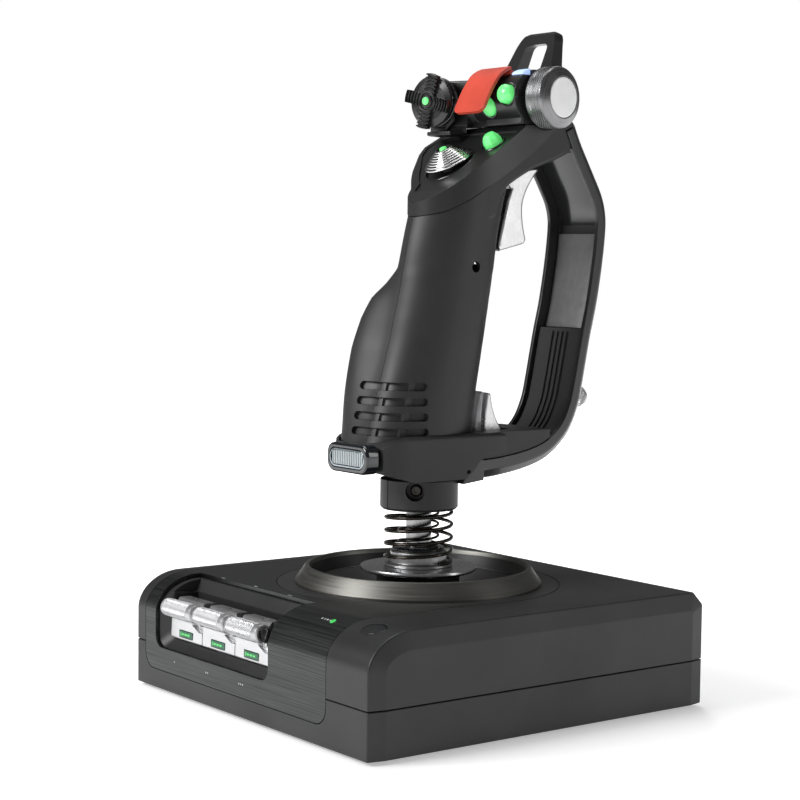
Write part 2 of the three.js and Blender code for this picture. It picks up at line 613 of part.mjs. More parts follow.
// The head seen from above: it starts flush with the grip, and has a wing for the thumb hat on the left.
function headOutline(inset) {
  const i = inset;
  const shape = new THREE.Shape();
  shape.moveTo(0, -4 + i).quadraticCurveTo(11, -3.6 + i, 16.6 - i, 8 + i);
  shape.quadraticCurveTo(19.2 - i, 15, 20 - i, 30);
  shape.lineTo(20.6 - i, 44).lineTo(20.6 - i, 76 - i).lineTo(-19.6 + i, 76 - i).lineTo(-20.4 + i, 55 - i);
  shape.lineTo(-42 + i, 47 - i).lineTo(-46 + i, 38).lineTo(-43 + i, 32).lineTo(-32 + i, 19.6 + i);
  shape.quadraticCurveTo(-22 + i, 10 + i, -16 + i, 7 + i).quadraticCurveTo(-10, -3.6 + i, 0, -4 + i);
  return shape;
}

// The band between the grip's seam and the panel's rim. The left wing is thinner than the middle.
function headCover() {
  const rim = [[-4.5, panelZ(-4.5) + 0.4], [48, panelZ(48)], [50, 283], [70, 283]];
  const lower = SEAM_LINE.slice(1, -1).map(([y, z]) => [y, z + GAP / 2]).reverse();
  const body = prism('x', [...rim, ...lower], -60, 60).intersect(prism('z', headOutline(0), 200, 320));
  const underWing = prism('y', [[-60, 200], [-19.5, 236], [-26, 252], [-34, 262], [-60, 276]], -20, 80);
  const recess = prism('x', [[4, panelZ(4) - 2.2], [46.6, panelZ(46.6) - 2.2], [46.6, 300], [-20, 300],
    [4, panelZ(4) + 2]], -60, 60)
    .intersect(prism('z', headOutline(2.6), 200, 320));
  const hole = (place, r) => rod(r, place.clone().addScaledVector(panelOut, -9),
    place.clone().addScaledVector(panelOut, 9), 20);
  return cut(body, underWing, recess, hole(CONE.place, 5.6), hole(FIRE.place, 5.2), knobRoom());
}

const onPanel = (x, y) => vec(x, y, panelZ(y) - 2.2 + GAP);
const CONE = { place: onPanel(-8.4, 25), r: 12.4 };
const FIRE = { place: onPanel(9.4, 38.8), r: 4.8 };

function buttonPanel() {
  const slab = prism('x', [[6, panelZ(6) - 2.2 + GAP], [46.2, panelZ(46.2) - 2.2 + GAP],
    [46.2, panelZ(46.2) - 0.7], [6, panelZ(6) - 0.7]], -60, 60);
  const hole = (place, r) => rod(r, place.clone().addScaledVector(panelOut, -9),
    place.clone().addScaledVector(panelOut, 9), 24);
  return cut(slab.intersect(prism('z', headOutline(3.1), 200, 320)), hole(CONE.place, 13.1),
    hole(FIRE.place, 5.4));
}

// The barrel that carries the cover, the buttons, the dial and, on its left, the thumb hat's module.
function headBlock() {
  const { y, z, r, left, right } = BARREL;
  const barrel = rod(r, vec(left, y, z), vec(right, y, z), 28);
  const plinth = prism('x', [[48, 283.3], [69, 284.6], [69, 297], [54, 297], [48, 289.4]], left, right);
  const wing = new THREE.Shape();
  wing.moveTo(-41, 36).lineTo(left + 0.5, 44.4).lineTo(left + 0.5, 62).lineTo(-34, 56).lineTo(-41, 46);
  const moduleTop = prism('z', wing, 283.3, 307);
  const shelf = prism('z', [[-35.5, 31], [-21, 34.5], [-19.6, 44.6], [-41, 44.6], [-41, 38]], 279, 281);
  const riser = prism('z', [[-40.6, 37.4], [-19.8, 44.4], [-40.6, 44.4]], 280.8, 283.8);
  const holes = [launchPlace(), thumbPlace()].map(({ place, out }) =>
    rod(5.2, place.clone().addScaledVector(out, -5), place.clone().addScaledVector(out, 9), 20));
  const seat = rod(9.4, HAT.place.clone().addScaledVector(HAT.out, -14.6),
    HAT.place.clone().addScaledVector(HAT.out, 10), 24);
  const lensSeat = box(10.3, 20, 46.7, 54.3, 307.6, 315);
  const hingeSeat = box(-14.4, 10.1, 46.6, 54, 306.6, 315);
  return cut(union(barrel, plinth, moduleTop, shelf, riser), ...holes, seat, lensSeat, hingeSeat,
    knobRoom());
}

function onBarrel(x, angle, stand) {
  const out = vec(0, Math.cos(radians(angle)), Math.sin(radians(angle)));
  const place = vec(x, BARREL.y, BARREL.z).addScaledVector(out, BARREL.r + stand);
  return { place, out };
}

const launchPlace = () => onBarrel(-1, 200, 0);
const thumbPlace = () => onBarrel(14, 176, 0);

function roundButton(r, height, sink) {
  return turned([[0, -sink], [r, -sink], [r, height - 1.8], [r - 1.2, height - 0.5], [r - 2.8, height],
    [0, height]], 20);
}

function facetedButton(r, height, sink) {
  return turned([[0, -sink], [3.6, -sink], [3.6, -0.2], [r, -0.2], [r, height * 0.45], [r * 0.55, height],
    [0, height]], 8);
}

const HAT = { place: vec(-30, 27.7, 296), out: vec(0.24, -0.97, 0).normalize(), r: 13.2 };

// Pieces of the thumb hat are turned about its own axis and then aimed at the user.
function hatPiece(manifold) {
  return aimed(manifold, HAT.place, HAT.out);
}

function hatSleeve() {
  return hatPiece(turned([[7.2, -14.2], [9, -14.2], [9, -8], [12.4, -8], [12.4, -5.6], [7.2, -5.6]], 24));
}

function hatCarrier() {
  return hatPiece(disc(6, -13.8, -4.8, 16));
}

function thumbHat() {
  const dish = turned([[0, -3.8], [11.6, -3.8], [HAT.r, -3.2], [HAT.r, -1.6], [9.4, -0.4], [0, -0.4]], 24);
  const arms = [0, 1, 2, 3].map((i) => {
    const angle = radians(i * 90);
    const arm = box(3, 14, -3.1, 3.1, -1.6, 2.6);
    return solid(geometryOf(arm).rotateZ(angle));
  });
  return hatPiece(union(dish, disc(5.4, -1, 2.2, 20), ...arms));
}

function hatLens() {
  return hatPiece(turned([[0, 2.5], [2.2, 2.5], [2.2, 2.9], [1.4, 3.4], [0, 3.4]], 14));
}

function conePiece(manifold) {
  return aimed(manifold, CONE.place, CONE_OUT);
}

const CONE_OUT = vec(0, -Math.sin(radians(29)), Math.cos(radians(29)));

// The stepped cone of the view hat, narrowing to the lens seat.
function viewHat() {
  const steps = 6;
  const profile = [[0, 2.6], [CONE.r, 2.6]];
  for (let i = 0; i < steps; i += 1) {
    const r = THREE.MathUtils.lerp(CONE.r, 3.6, i / (steps - 1));
    const h = THREE.MathUtils.lerp(3.6, 9.6, i / (steps - 1));
    profile.push([r, h], [r - 0.8, h + 0.25]);
  }
  return conePiece(turned([...profile, [0, 9.6]], 20));
}

function viewHatCarrier() {
  return conePiece(disc(4.6, -5, 1.9, 16));
}

function viewHatLens() {
  return conePiece(turned([[0, 9.9], [2.3, 9.9], [1.6, 10.8], [0, 10.9]], 14));
}

// A curved flap that stands off over the launch button, hinged at the top of the barrel.
function safetyCover() {
  const outer = [[49.6, 310.6], [46.4, 309.3], [42.9, 306.9], [39.8, 302.8], [37.1, 298.5], [34.5, 293.4],
    [32.3, 288.6]];
  const inner = [[34.2, 287.9], [36.4, 292.6], [38.9, 297.5], [41.4, 301.6], [44.1, 305.1], [47.3, 307.5],
    [49.4, 308.3]];
  const flap = prism('x', [...outer, ...inner], -14, 9);
  const corner = prism('y', [[12, 295], [9, 294], [7.4, 290], [4.4, 286], [40, 280]], 20, 60);
  const { y, z } = COVER_PIVOT;
  const barrelPin = rod(1.5, vec(-14, y, z), vec(9, y, z), 12);
  return union(cut(flap, corner), barrelPin);
}

const COVER_PIVOT = { y: 50, z: 309.4 };

function indicatorLens() {
  return box(10.6, 19, 47, 54, 307.9, 309.9);
}

function knobPiece(manifold) {
  const turn = radians(KNOB.turn);
  return aimed(manifold, vec(KNOB.x, KNOB.y, KNOB.z), vec(Math.cos(turn), Math.sin(turn), 0));
}

// The space that the dial turns in, cut out of the head round it.
function knobRoom() {
  return knobPiece(disc(KNOB.r + 0.4, -0.4, 16, 28));
}

function modeKnob() {
  const { r, depth } = KNOB;
  return knobPiece(turned([[0, 0], [r - 0.8, 0], [r, 0.6], [r, depth - 0.6], [r - 0.6, depth],
    [10.4, depth + 2.1], [10.2, depth + 0.9], [0, depth + 0.9]], 28));
}

function knobDisc() {
  return knobPiece(disc(9.8, KNOB.depth + 1.2, KNOB.depth + 2.3, 24));
}

// The loop that stands behind the head: a wedge seen from the side and an arch seen from the front.
function topLoop() {
  const side = [[71.8, 291], [71.6, 303], [66.8, 311], [74.6, 330.4], [77, 331.8], [79.8, 330],
    [75, 313.4], [77.2, 303], [82.6, 291]];
  const front = new THREE.Shape();
  front.moveTo(-19.4, 280).lineTo(19.4, 280).lineTo(18.4, 311).lineTo(14.6, 324);
  front.quadraticCurveTo(13.4, 332, 7, 332).lineTo(-6, 332).quadraticCurveTo(-11.6, 332, -14.6, 324);
  front.lineTo(-18.4, 311);
  const window = new THREE.Shape();
  window.moveTo(-9.6, 305).lineTo(9.6, 305).lineTo(9.8, 322.4).quadraticCurveTo(9.6, 325.4, 6.6, 325.4);
  window.lineTo(-3.6, 325.4).quadraticCurveTo(-6.8, 325.4, -7.3, 322.4);
  const body = prism('x', side, -25, 25).intersect(prism('y', front, 50, 100));
  return cut(body, prism('y', window, 50, 100), knobRoom());
}

// ---------- assembly ----------
const joystick = new THREE.Group();
joystick.position.y = CENTRE_SHIFT_Y;

function add(name, kind, manifold) {
  const mesh = new THREE.Mesh(geometryOf(manifold), material(kind));
  mesh.name = name;
  joystick.add(mesh);
  return mesh;
}

function addBase() {
  add('base_tray', 'satin', baseTray());
  add('base_cover', 'satin', baseCover());
  add('fascia_plate', 'gunmetal', fasciaPlate());
  add('toggle_bezel', 'satin', toggleBezel());
  add('toggle_rod', 'steel', rod(1.5, vec(-76, TOGGLE_PIVOT.y, TOGGLE_PIVOT.z),
    vec(17, TOGGLE_PIVOT.y, TOGGLE_PIVOT.z), 12));
  add('collar_ring', 'gunmetal', collarRing());
  add('gimbal_dish', 'satin', gimbalDish());
  add('gimbal_bracket', 'steel', gimbalBracket());
  add('circuit_board', 'board', box(-70, -30, -40, 50, 8, 9.6));
  add('cable_gland', 'rubber', cableGland());
  const corners = [[-84, -84], [84, -84], [-84, 84], [84, 84]];
  corners.forEach(([x, y], i) => add(`foot_${i + 1}`, 'rubber', foot(x, y)));
}

function cableGland() {
  const profile = [[2.6, -8], [5, -8], [5, 0.3], [7, 0.3], [7, 2], [5.6, 3.4], [2.6, 3.4]];
  return aimed(turned(profile, 20), vec(60, HALF_DEPTH, 36), vec(0, 1, 0));
}

function addToggles() {
  for (let i = 0; i < 3; i += 1) {
    const x = TOGGLE.first + i * TOGGLE.pitch;
    add(`toggle_${i + 1}`, 'white', moved(toggleBody(), x, 0, 0));
    add(`toggle_lens_${i + 1}`, 'green', moved(toggleLens(), x, 0, 0));
  }
}

function addStick() {
  add('gimbal_ring', 'steel', gimbalRing());
  add('pivot_block', 'steel', pivotBlock());
  add('stick_shaft', 'steel', stickShaft());
  add('plate_hub', 'satin', plateHub());
  add('spring_plate', 'steel', springPlate());
  add('spring_seat', 'steel', springSeat());
  add('outer_spring', 'darkSteel', coilSpring(SPRING));
  add('inner_spring', 'darkSteel', coilSpring(INNER_SPRING));
}

function addHandle() {
  add('handle_neck', 'shell', handleNeck());
  add('grip_right', 'shell', gripHalf(1));
  add('grip_left', 'shell', gripHalf(-1));
  add('guard_frame', 'satin', guardFrame());
  add('guard_insert', 'gunmetal', guardInsert());
  add('top_loop', 'satin', topLoop());
  add('trigger', 'chrome', trigger());
  add('trigger_pin', 'steel', triggerPin());
  add('pinkie_lever', 'chrome', pinkieLever());
  add('pinkie_housing', 'rubber', pinkieHousing());
  add('hand_rest', 'shell', handRest());
  add('rest_guide', 'rubber', restGuide());
  add('nose_bezel', 'satin', noseBezel());
  add('nose_lens', 'lens', noseLens());
  add('height_lock_knob', 'lens', heightLockKnob());
}

function addHead() {
  const launch = launchPlace();
  const thumb = thumbPlace();
  add('head_cover', 'satin', headCover());
  add('button_panel', 'satin', buttonPanel());
  add('head_block', 'satin', headBlock());
  add('fire_button', 'green', aimed(facetedButton(FIRE.r, 7.6, 3.6), FIRE.place, panelOut));
  add('launch_button', 'green', aimed(roundButton(4.7, 1.2, 4), launch.place, launch.out));
  add('thumb_button', 'green', aimed(roundButton(4.7, 4.8, 2.6), thumb.place, thumb.out));
  add('safety_cover', 'red', safetyCover());
  add('indicator_lens', 'blue', indicatorLens());
  add('hat_sleeve', 'steel', hatSleeve());
  add('thumb_hat_carrier', 'satin', hatCarrier());
  add('thumb_hat', 'satin', thumbHat());
  add('thumb_hat_lens', 'green', hatLens());
  add('view_hat_carrier', 'satin', viewHatCarrier());
  add('view_hat', 'chrome', viewHat());
  add('view_hat_lens', 'green', viewHatLens());
  add('mode_knob', 'steel', modeKnob());
  add('knob_disc', 'white', knobDisc());
}

addBase();
addToggles();
addStick();
addHandle();
addHead();

export default joystick;
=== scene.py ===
# Looks of a desktop flight joystick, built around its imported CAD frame.
# Forms are modelled in millimetres in the design frame, where the base is centred on x = y = 0 and the
# user sits on the -Y side, and are then moved into the row frame, in metres, by TO_FRAME.
import json
import math

import bmesh
import bpy
from mathutils import Matrix, Vector


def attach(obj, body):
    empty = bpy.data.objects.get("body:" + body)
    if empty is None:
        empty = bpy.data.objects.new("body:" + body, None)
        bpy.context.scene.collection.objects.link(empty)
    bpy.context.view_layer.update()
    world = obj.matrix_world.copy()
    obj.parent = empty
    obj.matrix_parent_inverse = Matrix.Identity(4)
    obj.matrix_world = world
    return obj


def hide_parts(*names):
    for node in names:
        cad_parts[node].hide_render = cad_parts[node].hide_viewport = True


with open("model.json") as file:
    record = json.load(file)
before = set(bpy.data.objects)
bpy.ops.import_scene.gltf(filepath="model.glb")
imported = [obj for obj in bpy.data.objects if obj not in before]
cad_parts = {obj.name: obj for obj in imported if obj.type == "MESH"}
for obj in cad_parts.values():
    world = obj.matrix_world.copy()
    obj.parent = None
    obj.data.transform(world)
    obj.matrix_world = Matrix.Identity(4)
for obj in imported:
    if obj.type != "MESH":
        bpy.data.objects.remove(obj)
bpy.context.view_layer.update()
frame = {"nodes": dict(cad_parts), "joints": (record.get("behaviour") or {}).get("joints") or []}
JOINTS = {j["name"]: j for j in frame["joints"]}

# ---------- driving dimensions, in millimetres ----------
STICK_Y = 1.5                    # the stick's axis in the design frame
SHIFT_Y = JOINTS["stick_pitch"]["pos_m"][1] * 1000 - STICK_Y
TO_FRAME = Matrix.Scale(0.001, 4) @ Matrix.Translation((0, SHIFT_Y, 0))
HALF_WIDTH = 100
HALF_DEPTH = 101
BASE_TOP = 56.8
SEAM_Z = 23.6
FOOT_H = 1.6
EDGE = 8.5                       # chamfer round the base's sides, over the front, top and rear
EDGE_IN = 1.8                    # and over the sides
REAR_EDGE = 6.5
FRONT_ROUND = (24, 17.8)
FASCIA = {"left": -90, "right": 67, "bottom": 11.2, "thick": 2, "corner": 8}
POCKET = {"left": -80.3, "right": 21, "bottom": 22.4, "back": -80, "lip": -75, "back_top": 52.2}
SKIRT_R = 70
RING = {"outer": 61, "inner": 52, "rim_z": 65.4}
TOGGLE = {"pitch": 29.4, "first": -58.2, "width": 28.8, "bar_r": 4.5, "bar_y": -96.4, "bar_z": 42.4}
SHAFT_R = 6.35
PLATE_R = 29
PLATE_Z = 62.8
NECK_R = 19.3
NECK_Z = 93.4
NECK_TOP = 108.4
GRIP_HALF = 19.3
GRIP_BOTTOM = 127
SWELL_ANGLE = 220
SWELL_SPREAD = 24
GUARD_HALF = 19.5
GUARD_DEPTH = 10
REST_TOP = 131
PANEL_SLOPE = math.radians(36)
BARREL = {"y": 56, "z": 297, "r": 13.5, "left": -19.6, "right": 19.6}
KNOB = {"x": 20.1, "y": 61.54, "z": 296.6, "r": 15.5, "depth": 10.5, "turn": math.radians(8)}
HAT_PLACE = Vector((-30, 27.7, 296))
HAT_OUT = Vector((0.24, -0.97, 0)).normalized()
CONE_OUT = Vector((0, -math.sin(math.radians(29)), math.cos(math.radians(29))))
PANEL_OUT = Vector((0, -math.sin(PANEL_SLOPE), math.cos(PANEL_SLOPE)))


# ---------- outlines ----------
def arc(centre, radius, start, end, steps=12):
    """Points of an arc, or of an ellipse when radius is a pair, with the angles in degrees."""
    rx, ry = radius if isinstance(radius, tuple) else (radius, radius)
    angles = [math.radians(start + (end - start) * i / steps) for i in range(steps + 1)]
    return [(centre[0] + rx * math.cos(a), centre[1] + ry * math.sin(a)) for a in angles]


def curve(start, middle, end, steps=8):
    """Points of a quadratic curve, without its start."""
    points = []
    for i in range(1, steps + 1):
        t = i / steps
        weights = ((1 - t) ** 2, 2 * t * (1 - t), t * t)
        points.append(tuple(sum(w * p[k] for w, p in zip(weights, (start, middle, end))) for k in (0, 1)))
    return points


def rounded(points, radius, steps=4):
    """A closed outline with its corners rounded; radius is one number or one for each corner."""
    radii = radius if isinstance(radius, (list, tuple)) else [radius] * len(points)
    result = []
    for i, point in enumerate(points):
        here = Vector(point)
        before = Vector(points[i - 1]) - here
        after = Vector(points[(i + 1) % len(points)]) - here
        if before.length < 1e-6 or after.length < 1e-6:
            continue
        bend = before.angle(after)
        turn = math.pi - bend
        if turn < math.radians(3) or radii[i] <= 0:
            result.append(tuple(here))
            continue
        reach = min(radii[i] * math.tan(turn / 2), 0.45 * before.length, 0.45 * after.length)
        start = here + before.normalized() * reach
        end = here + after.normalized() * reach
        result.append(tuple(start))
        result.extend(curve(start, here, end, steps))
    return result


def rounded_rect(a0, a1, b0, b1, radius, steps=8):
    corners = [((a1 - radius, b0 + radius), -90), ((a1 - radius, b1 - radius), 0),
               ((a0 + radius, b1 - radius), 90), ((a0 + radius, b0 + radius), 180)]
    points = []
    for centre, start in corners:
        points.extend(arc(centre, radius, start, start + 90, steps))
    return points


def without_repeats(points):
    kept = []
    for point in points:
        if not kept or (Vector(point) - Vector(kept[-1])).length > 1e-4:
            kept.append(tuple(point))
    if (Vector(kept[0]) - Vector(kept[-1])).length < 1e-4:
        kept.pop()
    return kept


# ---------- forms ----------
def new_form(vertices, faces):
    mesh = bpy.data.meshes.new("form")
    mesh.from_pydata([tuple(v) for v in vertices], [], faces)
    work = bmesh.new()
    work.from_mesh(mesh)
    bmesh.ops.recalc_face_normals(work, faces=work.faces)
    work.to_mesh(mesh)
    work.free()
    obj = bpy.data.objects.new("form", mesh)
    bpy.context.scene.collection.objects.link(obj)
    return obj


AXES = {
    "x": lambda a, b, along: (along, a, b),
    "y": lambda a, b, along: (a, along, b),
    "z": lambda a, b, along: (a, b, along),
}


def prism(axis, outline, low, high, bevel=0, steps=3):
    """An outline swept along an axis, with rounded rims.

    Its points are (y, z) for x, (x, z) for y and (x, y) for z.
    """
    points = without_repeats(outline)
    to_point = AXES[axis]
    count = len(points)
    vertices = [to_point(a, b, low) for a, b in points] + [to_point(a, b, high) for a, b in points]
    faces = [list(range(count)), list(range(count, 2 * count))[::-1]]
    faces += [[i, (i + 1) % count, count + (i + 1) % count, count + i] for i in range(count)]
    obj = new_form(vertices, faces)
    if bevel:
        work = bmesh.new()
        work.from_mesh(obj.data)
        rims = [e for e in work.edges if any(len(f.verts) == count and count > 4 for f in e.link_faces)]
        if count == 4:
            rims = [e for e in work.edges if (e.verts[0].index < count) == (e.verts[1].index < count)]
        bmesh.ops.bevel(work, geom=rims, offset=bevel, segments=steps, profile=0.5, affect="EDGES")
        work.to_mesh(obj.data)
        work.free()
    return obj


def block(x0, x1, y0, y1, z0, z1, bevel=0):
    return prism("z", [(x0, y0), (x1, y0), (x1, y1), (x0, y1)], z0, z1, bevel)


def grid_form(rows):
    """A closed skin over rows of points, each row the same length, with flat ends."""
    count = len(rows[0])
    vertices = [p for row in rows for p in row]
    faces = []
    for r in range(len(rows) - 1):
        for i in range(count):
            j = (i + 1) % count
            faces.append([r * count + i, r * count + j, (r + 1) * count + j, (r + 1) * count + i])
    faces.append(list(range(count))[::-1])
    faces.append([(len(rows) - 1) * count + i for i in range(count)])
    return new_form(vertices, faces)


def turned(profile, segments=72):
    """A turned form about +Z from (radius, height) points that start and end on the axis or close up."""
    closed = profile[0][0] > 1e-6
    vertices, rings = [], []
    for r, h in profile:
        if r < 1e-6:
            rings.append([len(vertices)])
            vertices.append((0, 0, h))
            continue
        rings.append(list(range(len(vertices), len(vertices) + segments)))
        for s in range(segments):
            a = 2 * math.pi * s / segments
            vertices.append((r * math.cos(a), r * math.sin(a), h))
    pairs = list(zip(rings, rings[1:] + rings[:1] if closed else rings[1:]))
    faces = []
    for a, b in pairs:
        for s in range(segments):
            n = (s + 1) % segments
            if len(a) == 1 and len(b) == 1:
                break
            if len(a) == 1:
                faces.append([a[0], b[s], b[n]])
            elif len(b) == 1:
                faces.append([a[s], a[n], b[0]])
            else:
                faces.append([a[s], a[n], b[n], b[s]])
    return new_form(vertices, faces)


def soft_turned(profile, radius=0.4, segments=72):
    """turned() with the corners that are off the axis rounded."""
    radii = [0 if r < 1e-6 else radius for r, _ in profile]
    return turned(rounded(profile, radii, 3), segments)


def rod(radius, start, end, segments=40, bevel=0):
    start, end = Vector(start), Vector(end)
    length = (end - start).length
    profile = [(0, 0), (radius, 0), (radius, length), (0, length)]
    form = soft_turned(profile, bevel, segments) if bevel else turned(profile, segments)
    return aimed(form, start, end - start)


def transformed(obj, matrix):
    obj.data.transform(matrix)
    return obj


def aimed(obj, place, direction):
    """Turns a form made about +Z to point along direction, with its origin at place."""
    turn = Vector((0, 0, 1)).rotation_difference(Vector(direction).normalized())
    return transformed(obj, Matrix.Translation(Vector(place)) @ turn.to_matrix().to_4x4())


def moved(obj, x=0, y=0, z=0):
    return transformed(obj, Matrix.Translation((x, y, z)))


def combine(body, tools, operation):
    """body joined with, cut by or met with each tool in turn; the tools are used up."""
    for tool in tools:
        modifier = body.modifiers.new("shape", "BOOLEAN")
        modifier.operation = operation
        modifier.solver = "MANIFOLD"
        modifier.object = tool
    graph = bpy.context.evaluated_depsgraph_get()
    graph.update()
    result = bpy.data.meshes.new_from_object(body.evaluated_get(graph))
    body.modifiers.clear()
    body.data = result
    for tool in tools:
        bpy.data.objects.remove(tool)
    return body


def cut(body, *tools):
    return combine(body, tools, "DIFFERENCE")


def join(body, *tools):
    return combine(body, tools, "UNION")


def meet(body, *tools):
    return combine(body, tools, "INTERSECT")


def copy_of(obj):
    twin = obj.copy()
    twin.data = obj.data.copy()
    bpy.context.scene.collection.objects.link(twin)
    return twin


# ---------- finishing a piece ----------
def smooth_by_angle(mesh, degrees):
    work = bmesh.new()
    work.from_mesh(mesh)
    for face in work.faces:
        face.smooth = True
    limit = math.radians(degrees)
    for edge in work.edges:
        edge.smooth = len(edge.link_faces) == 2 and edge.calc_face_angle(math.pi) < limit
    work.to_mesh(mesh)
    work.free()


def tidy(mesh):
    """Merges doubled points and the flat triangles that cutting leaves."""
    work = bmesh.new()
    work.from_mesh(mesh)
    bmesh.ops.remove_doubles(work, verts=work.verts, dist=1e-3)
    bmesh.ops.dissolve_limit(work, angle_limit=math.radians(0.5), verts=work.verts, edges=work.edges)
    bmesh.ops.recalc_face_normals(work, faces=work.faces)
    work.to_mesh(mesh)
    work.free()


def piece(obj, name, body, look, replaces=(), edge=0, crease=35):
    """Names a finished form, moves it into the row frame and fixes it to its body and material.

    replaces lists the CAD nodes it stands for, and edge is the rounding in mm of edges sharper than crease.
    """
    own_slot, material = LOOK[look]
    obj.name = name
    obj.data.name = name
    if edge:
        tidy(obj.data)
    obj.data.transform(TO_FRAME)
    obj.data.materials.clear()
    obj.data.materials.append(material)
    smooth_by_angle(obj.data, crease)
    if edge:
        bevel = obj.modifiers.new("edge", "BEVEL")
        bevel.width = edge * 0.001
        bevel.segments = 2
        bevel.limit_method = "ANGLE"
        bevel.angle_limit = math.radians(crease)
        bevel.use_clamp_overlap = True
        bevel.harden_normals = False
        smooth = obj.modifiers.new("shade", "WEIGHTED_NORMAL")
        smooth.keep_sharp = False
        smooth.weight = 60
    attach(obj, body)
    if replaces:
        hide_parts(*replaces)
    return obj


# ---------- materials ----------
class Shader:
    """A Principled material with small helpers for wiring procedural detail into it."""

    def __init__(self, name, colour, roughness, metallic=0.0):
        self.material = bpy.data.materials.new(name)
        self.material.use_nodes = True
        self.nodes = self.material.node_tree.nodes
        self.links = self.material.node_tree.links
        self.surface = self.nodes["Principled BSDF"]
        self.colour = (*colour, 1)
        self.surface.inputs["Base Color"].default_value = self.colour
        self.surface.inputs["Roughness"].default_value = roughness
        self.surface.inputs["Metallic"].default_value = metallic
        self.bumps = []

    def node(self, kind, **inputs):
        node = self.nodes.new(kind)
        for key, value in inputs.items():
            node.inputs[key.replace("_", " ")].default_value = value
        return node

    def coordinates(self, stretch=(1, 1, 1), turn=(0, 0, 0)):
        """Object coordinates, in metres, scaled apart along each axis."""
        source = self.nodes.new("ShaderNodeTexCoord")
        mapping = self.node("ShaderNodeMapping", Scale=stretch, Rotation=turn)
        self.links.new(source.outputs["Object"], mapping.inputs["Vector"])
        return mapping.outputs["Vector"]

    def around(self, centre, axis, scale):
        """Coordinates round an axis through centre: distance out, angle and height, scaled apart."""
        source = self.nodes.new("ShaderNodeTexCoord")
        mapping = self.nodes.new("ShaderNodeMapping")
        turn = Vector(axis).rotation_difference(Vector((0, 0, 1)))
        mapping.inputs["Rotation"].default_value = turn.to_euler()
        mapping.inputs["Location"].default_value = -(turn @ Vector(centre))
        self.links.new(source.outputs["Object"], mapping.inputs["Vector"])
        split = self.nodes.new("ShaderNodeSeparateXYZ")
        self.links.new(mapping.outputs["Vector"], split.inputs[0])
        radius = self.math("SQRT", self.math("ADD", self.math("MULTIPLY", split.outputs[0],
                                                              split.outputs[0]),
                                             self.math("MULTIPLY", split.outputs[1], split.outputs[1])))
        angle = self.math("ARCTAN2", split.outputs[1], split.outputs[0])
        join_node = self.nodes.new("ShaderNodeCombineXYZ")
        for i, (value, factor) in enumerate(zip((radius, angle, split.outputs[2]), scale)):
            self.links.new(self.math("MULTIPLY", value, factor), join_node.inputs[i])
        return join_node.outputs[0]

    def math(self, operation, a, b=None):
        node = self.nodes.new("ShaderNodeMath")
        node.operation = operation
        for i, value in enumerate((a, b)):
            if isinstance(value, (int, float)):
                node.inputs[i].default_value = value
            elif value is not None:
                self.links.new(value, node.inputs[i])
        return node.outputs[0]

    def noise(self, vector, scale, detail=3, rough=0.5):
        node = self.node("ShaderNodeTexNoise", Scale=scale, Detail=detail, Roughness=rough)
        self.links.new(vector, node.inputs["Vector"])
        return node.outputs["Fac"]

    def spread(self, value, low, high, source_low=0.3, source_high=0.7):
        node = self.nodes.new("ShaderNodeMapRange")
        settings = (("From Min", source_low), ("From Max", source_high), ("To Min", low),
                    ("To Max", high))
        for key, number in settings:
            node.inputs[key].default_value = number
        self.links.new(value, node.inputs["Value"])
        return node.outputs["Result"]

    def vary_colour(self, value, darker, lighter):
        ramp = self.nodes.new("ShaderNodeValToRGB")
        base = self.colour[:3]
        ramp.color_ramp.elements[0].position = 0.3
        ramp.color_ramp.elements[1].position = 0.7
        ramp.color_ramp.elements[0].color = (*[c * darker for c in base], 1)
        ramp.color_ramp.elements[1].color = (*[min(1, c * lighter) for c in base], 1)
        self.links.new(value, ramp.inputs["Fac"])
        self.links.new(ramp.outputs["Color"], self.surface.inputs["Base Color"])

    def vary_roughness(self, value, low, high):
        self.links.new(self.spread(value, low, high), self.surface.inputs["Roughness"])

    def glow_with_distance(self, stops):
        """Emission that changes with distance from the origin, between two (distance, strength) stops."""
        source = self.nodes.new("ShaderNodeTexCoord")
        length = self.nodes.new("ShaderNodeVectorMath")
        length.operation = "LENGTH"
        self.links.new(source.outputs["Object"], length.inputs[0])
        (near, low), (far, high) = stops
        self.links.new(self.spread(length.outputs["Value"], low, high, near, far),
                       self.surface.inputs["Emission Strength"])

    def bump(self, value, depth_mm, strength=1.0):
        node = self.node("ShaderNodeBump", Distance=depth_mm * 0.001, Strength=strength)
        self.links.new(value, node.inputs["Height"])
        if self.bumps:
            self.links.new(self.bumps[-1], node.inputs["Normal"])
        self.bumps.append(node.outputs["Normal"])
        self.links.new(node.outputs["Normal"], self.surface.inputs["Normal"])

    def set(self, **values):
        for key, value in values.items():
            self.surface.inputs[key.replace("_", " ")].default_value = value
        return self


def moulded(name, colour, low, high, grain_mm=0.35, grain_depth=0.012, coat=0.0):
    """Moulded plastic: a fine spark-eroded grain, slow changes of gloss and a little handling wear."""
    shader = Shader(name, colour, (low + high) / 2)
    place = shader.coordinates()
    grain = shader.noise(place, 1000 / grain_mm, 2)
    cloud = shader.noise(place, 18, 4)
    shader.vary_roughness(cloud, low, high)
    shader.vary_colour(shader.noise(place, 60, 3), 0.9, 1.12)
    shader.bump(grain, grain_depth)
    shader.set(Coat_Weight=coat, Coat_Roughness=0.08)
    return shader.material


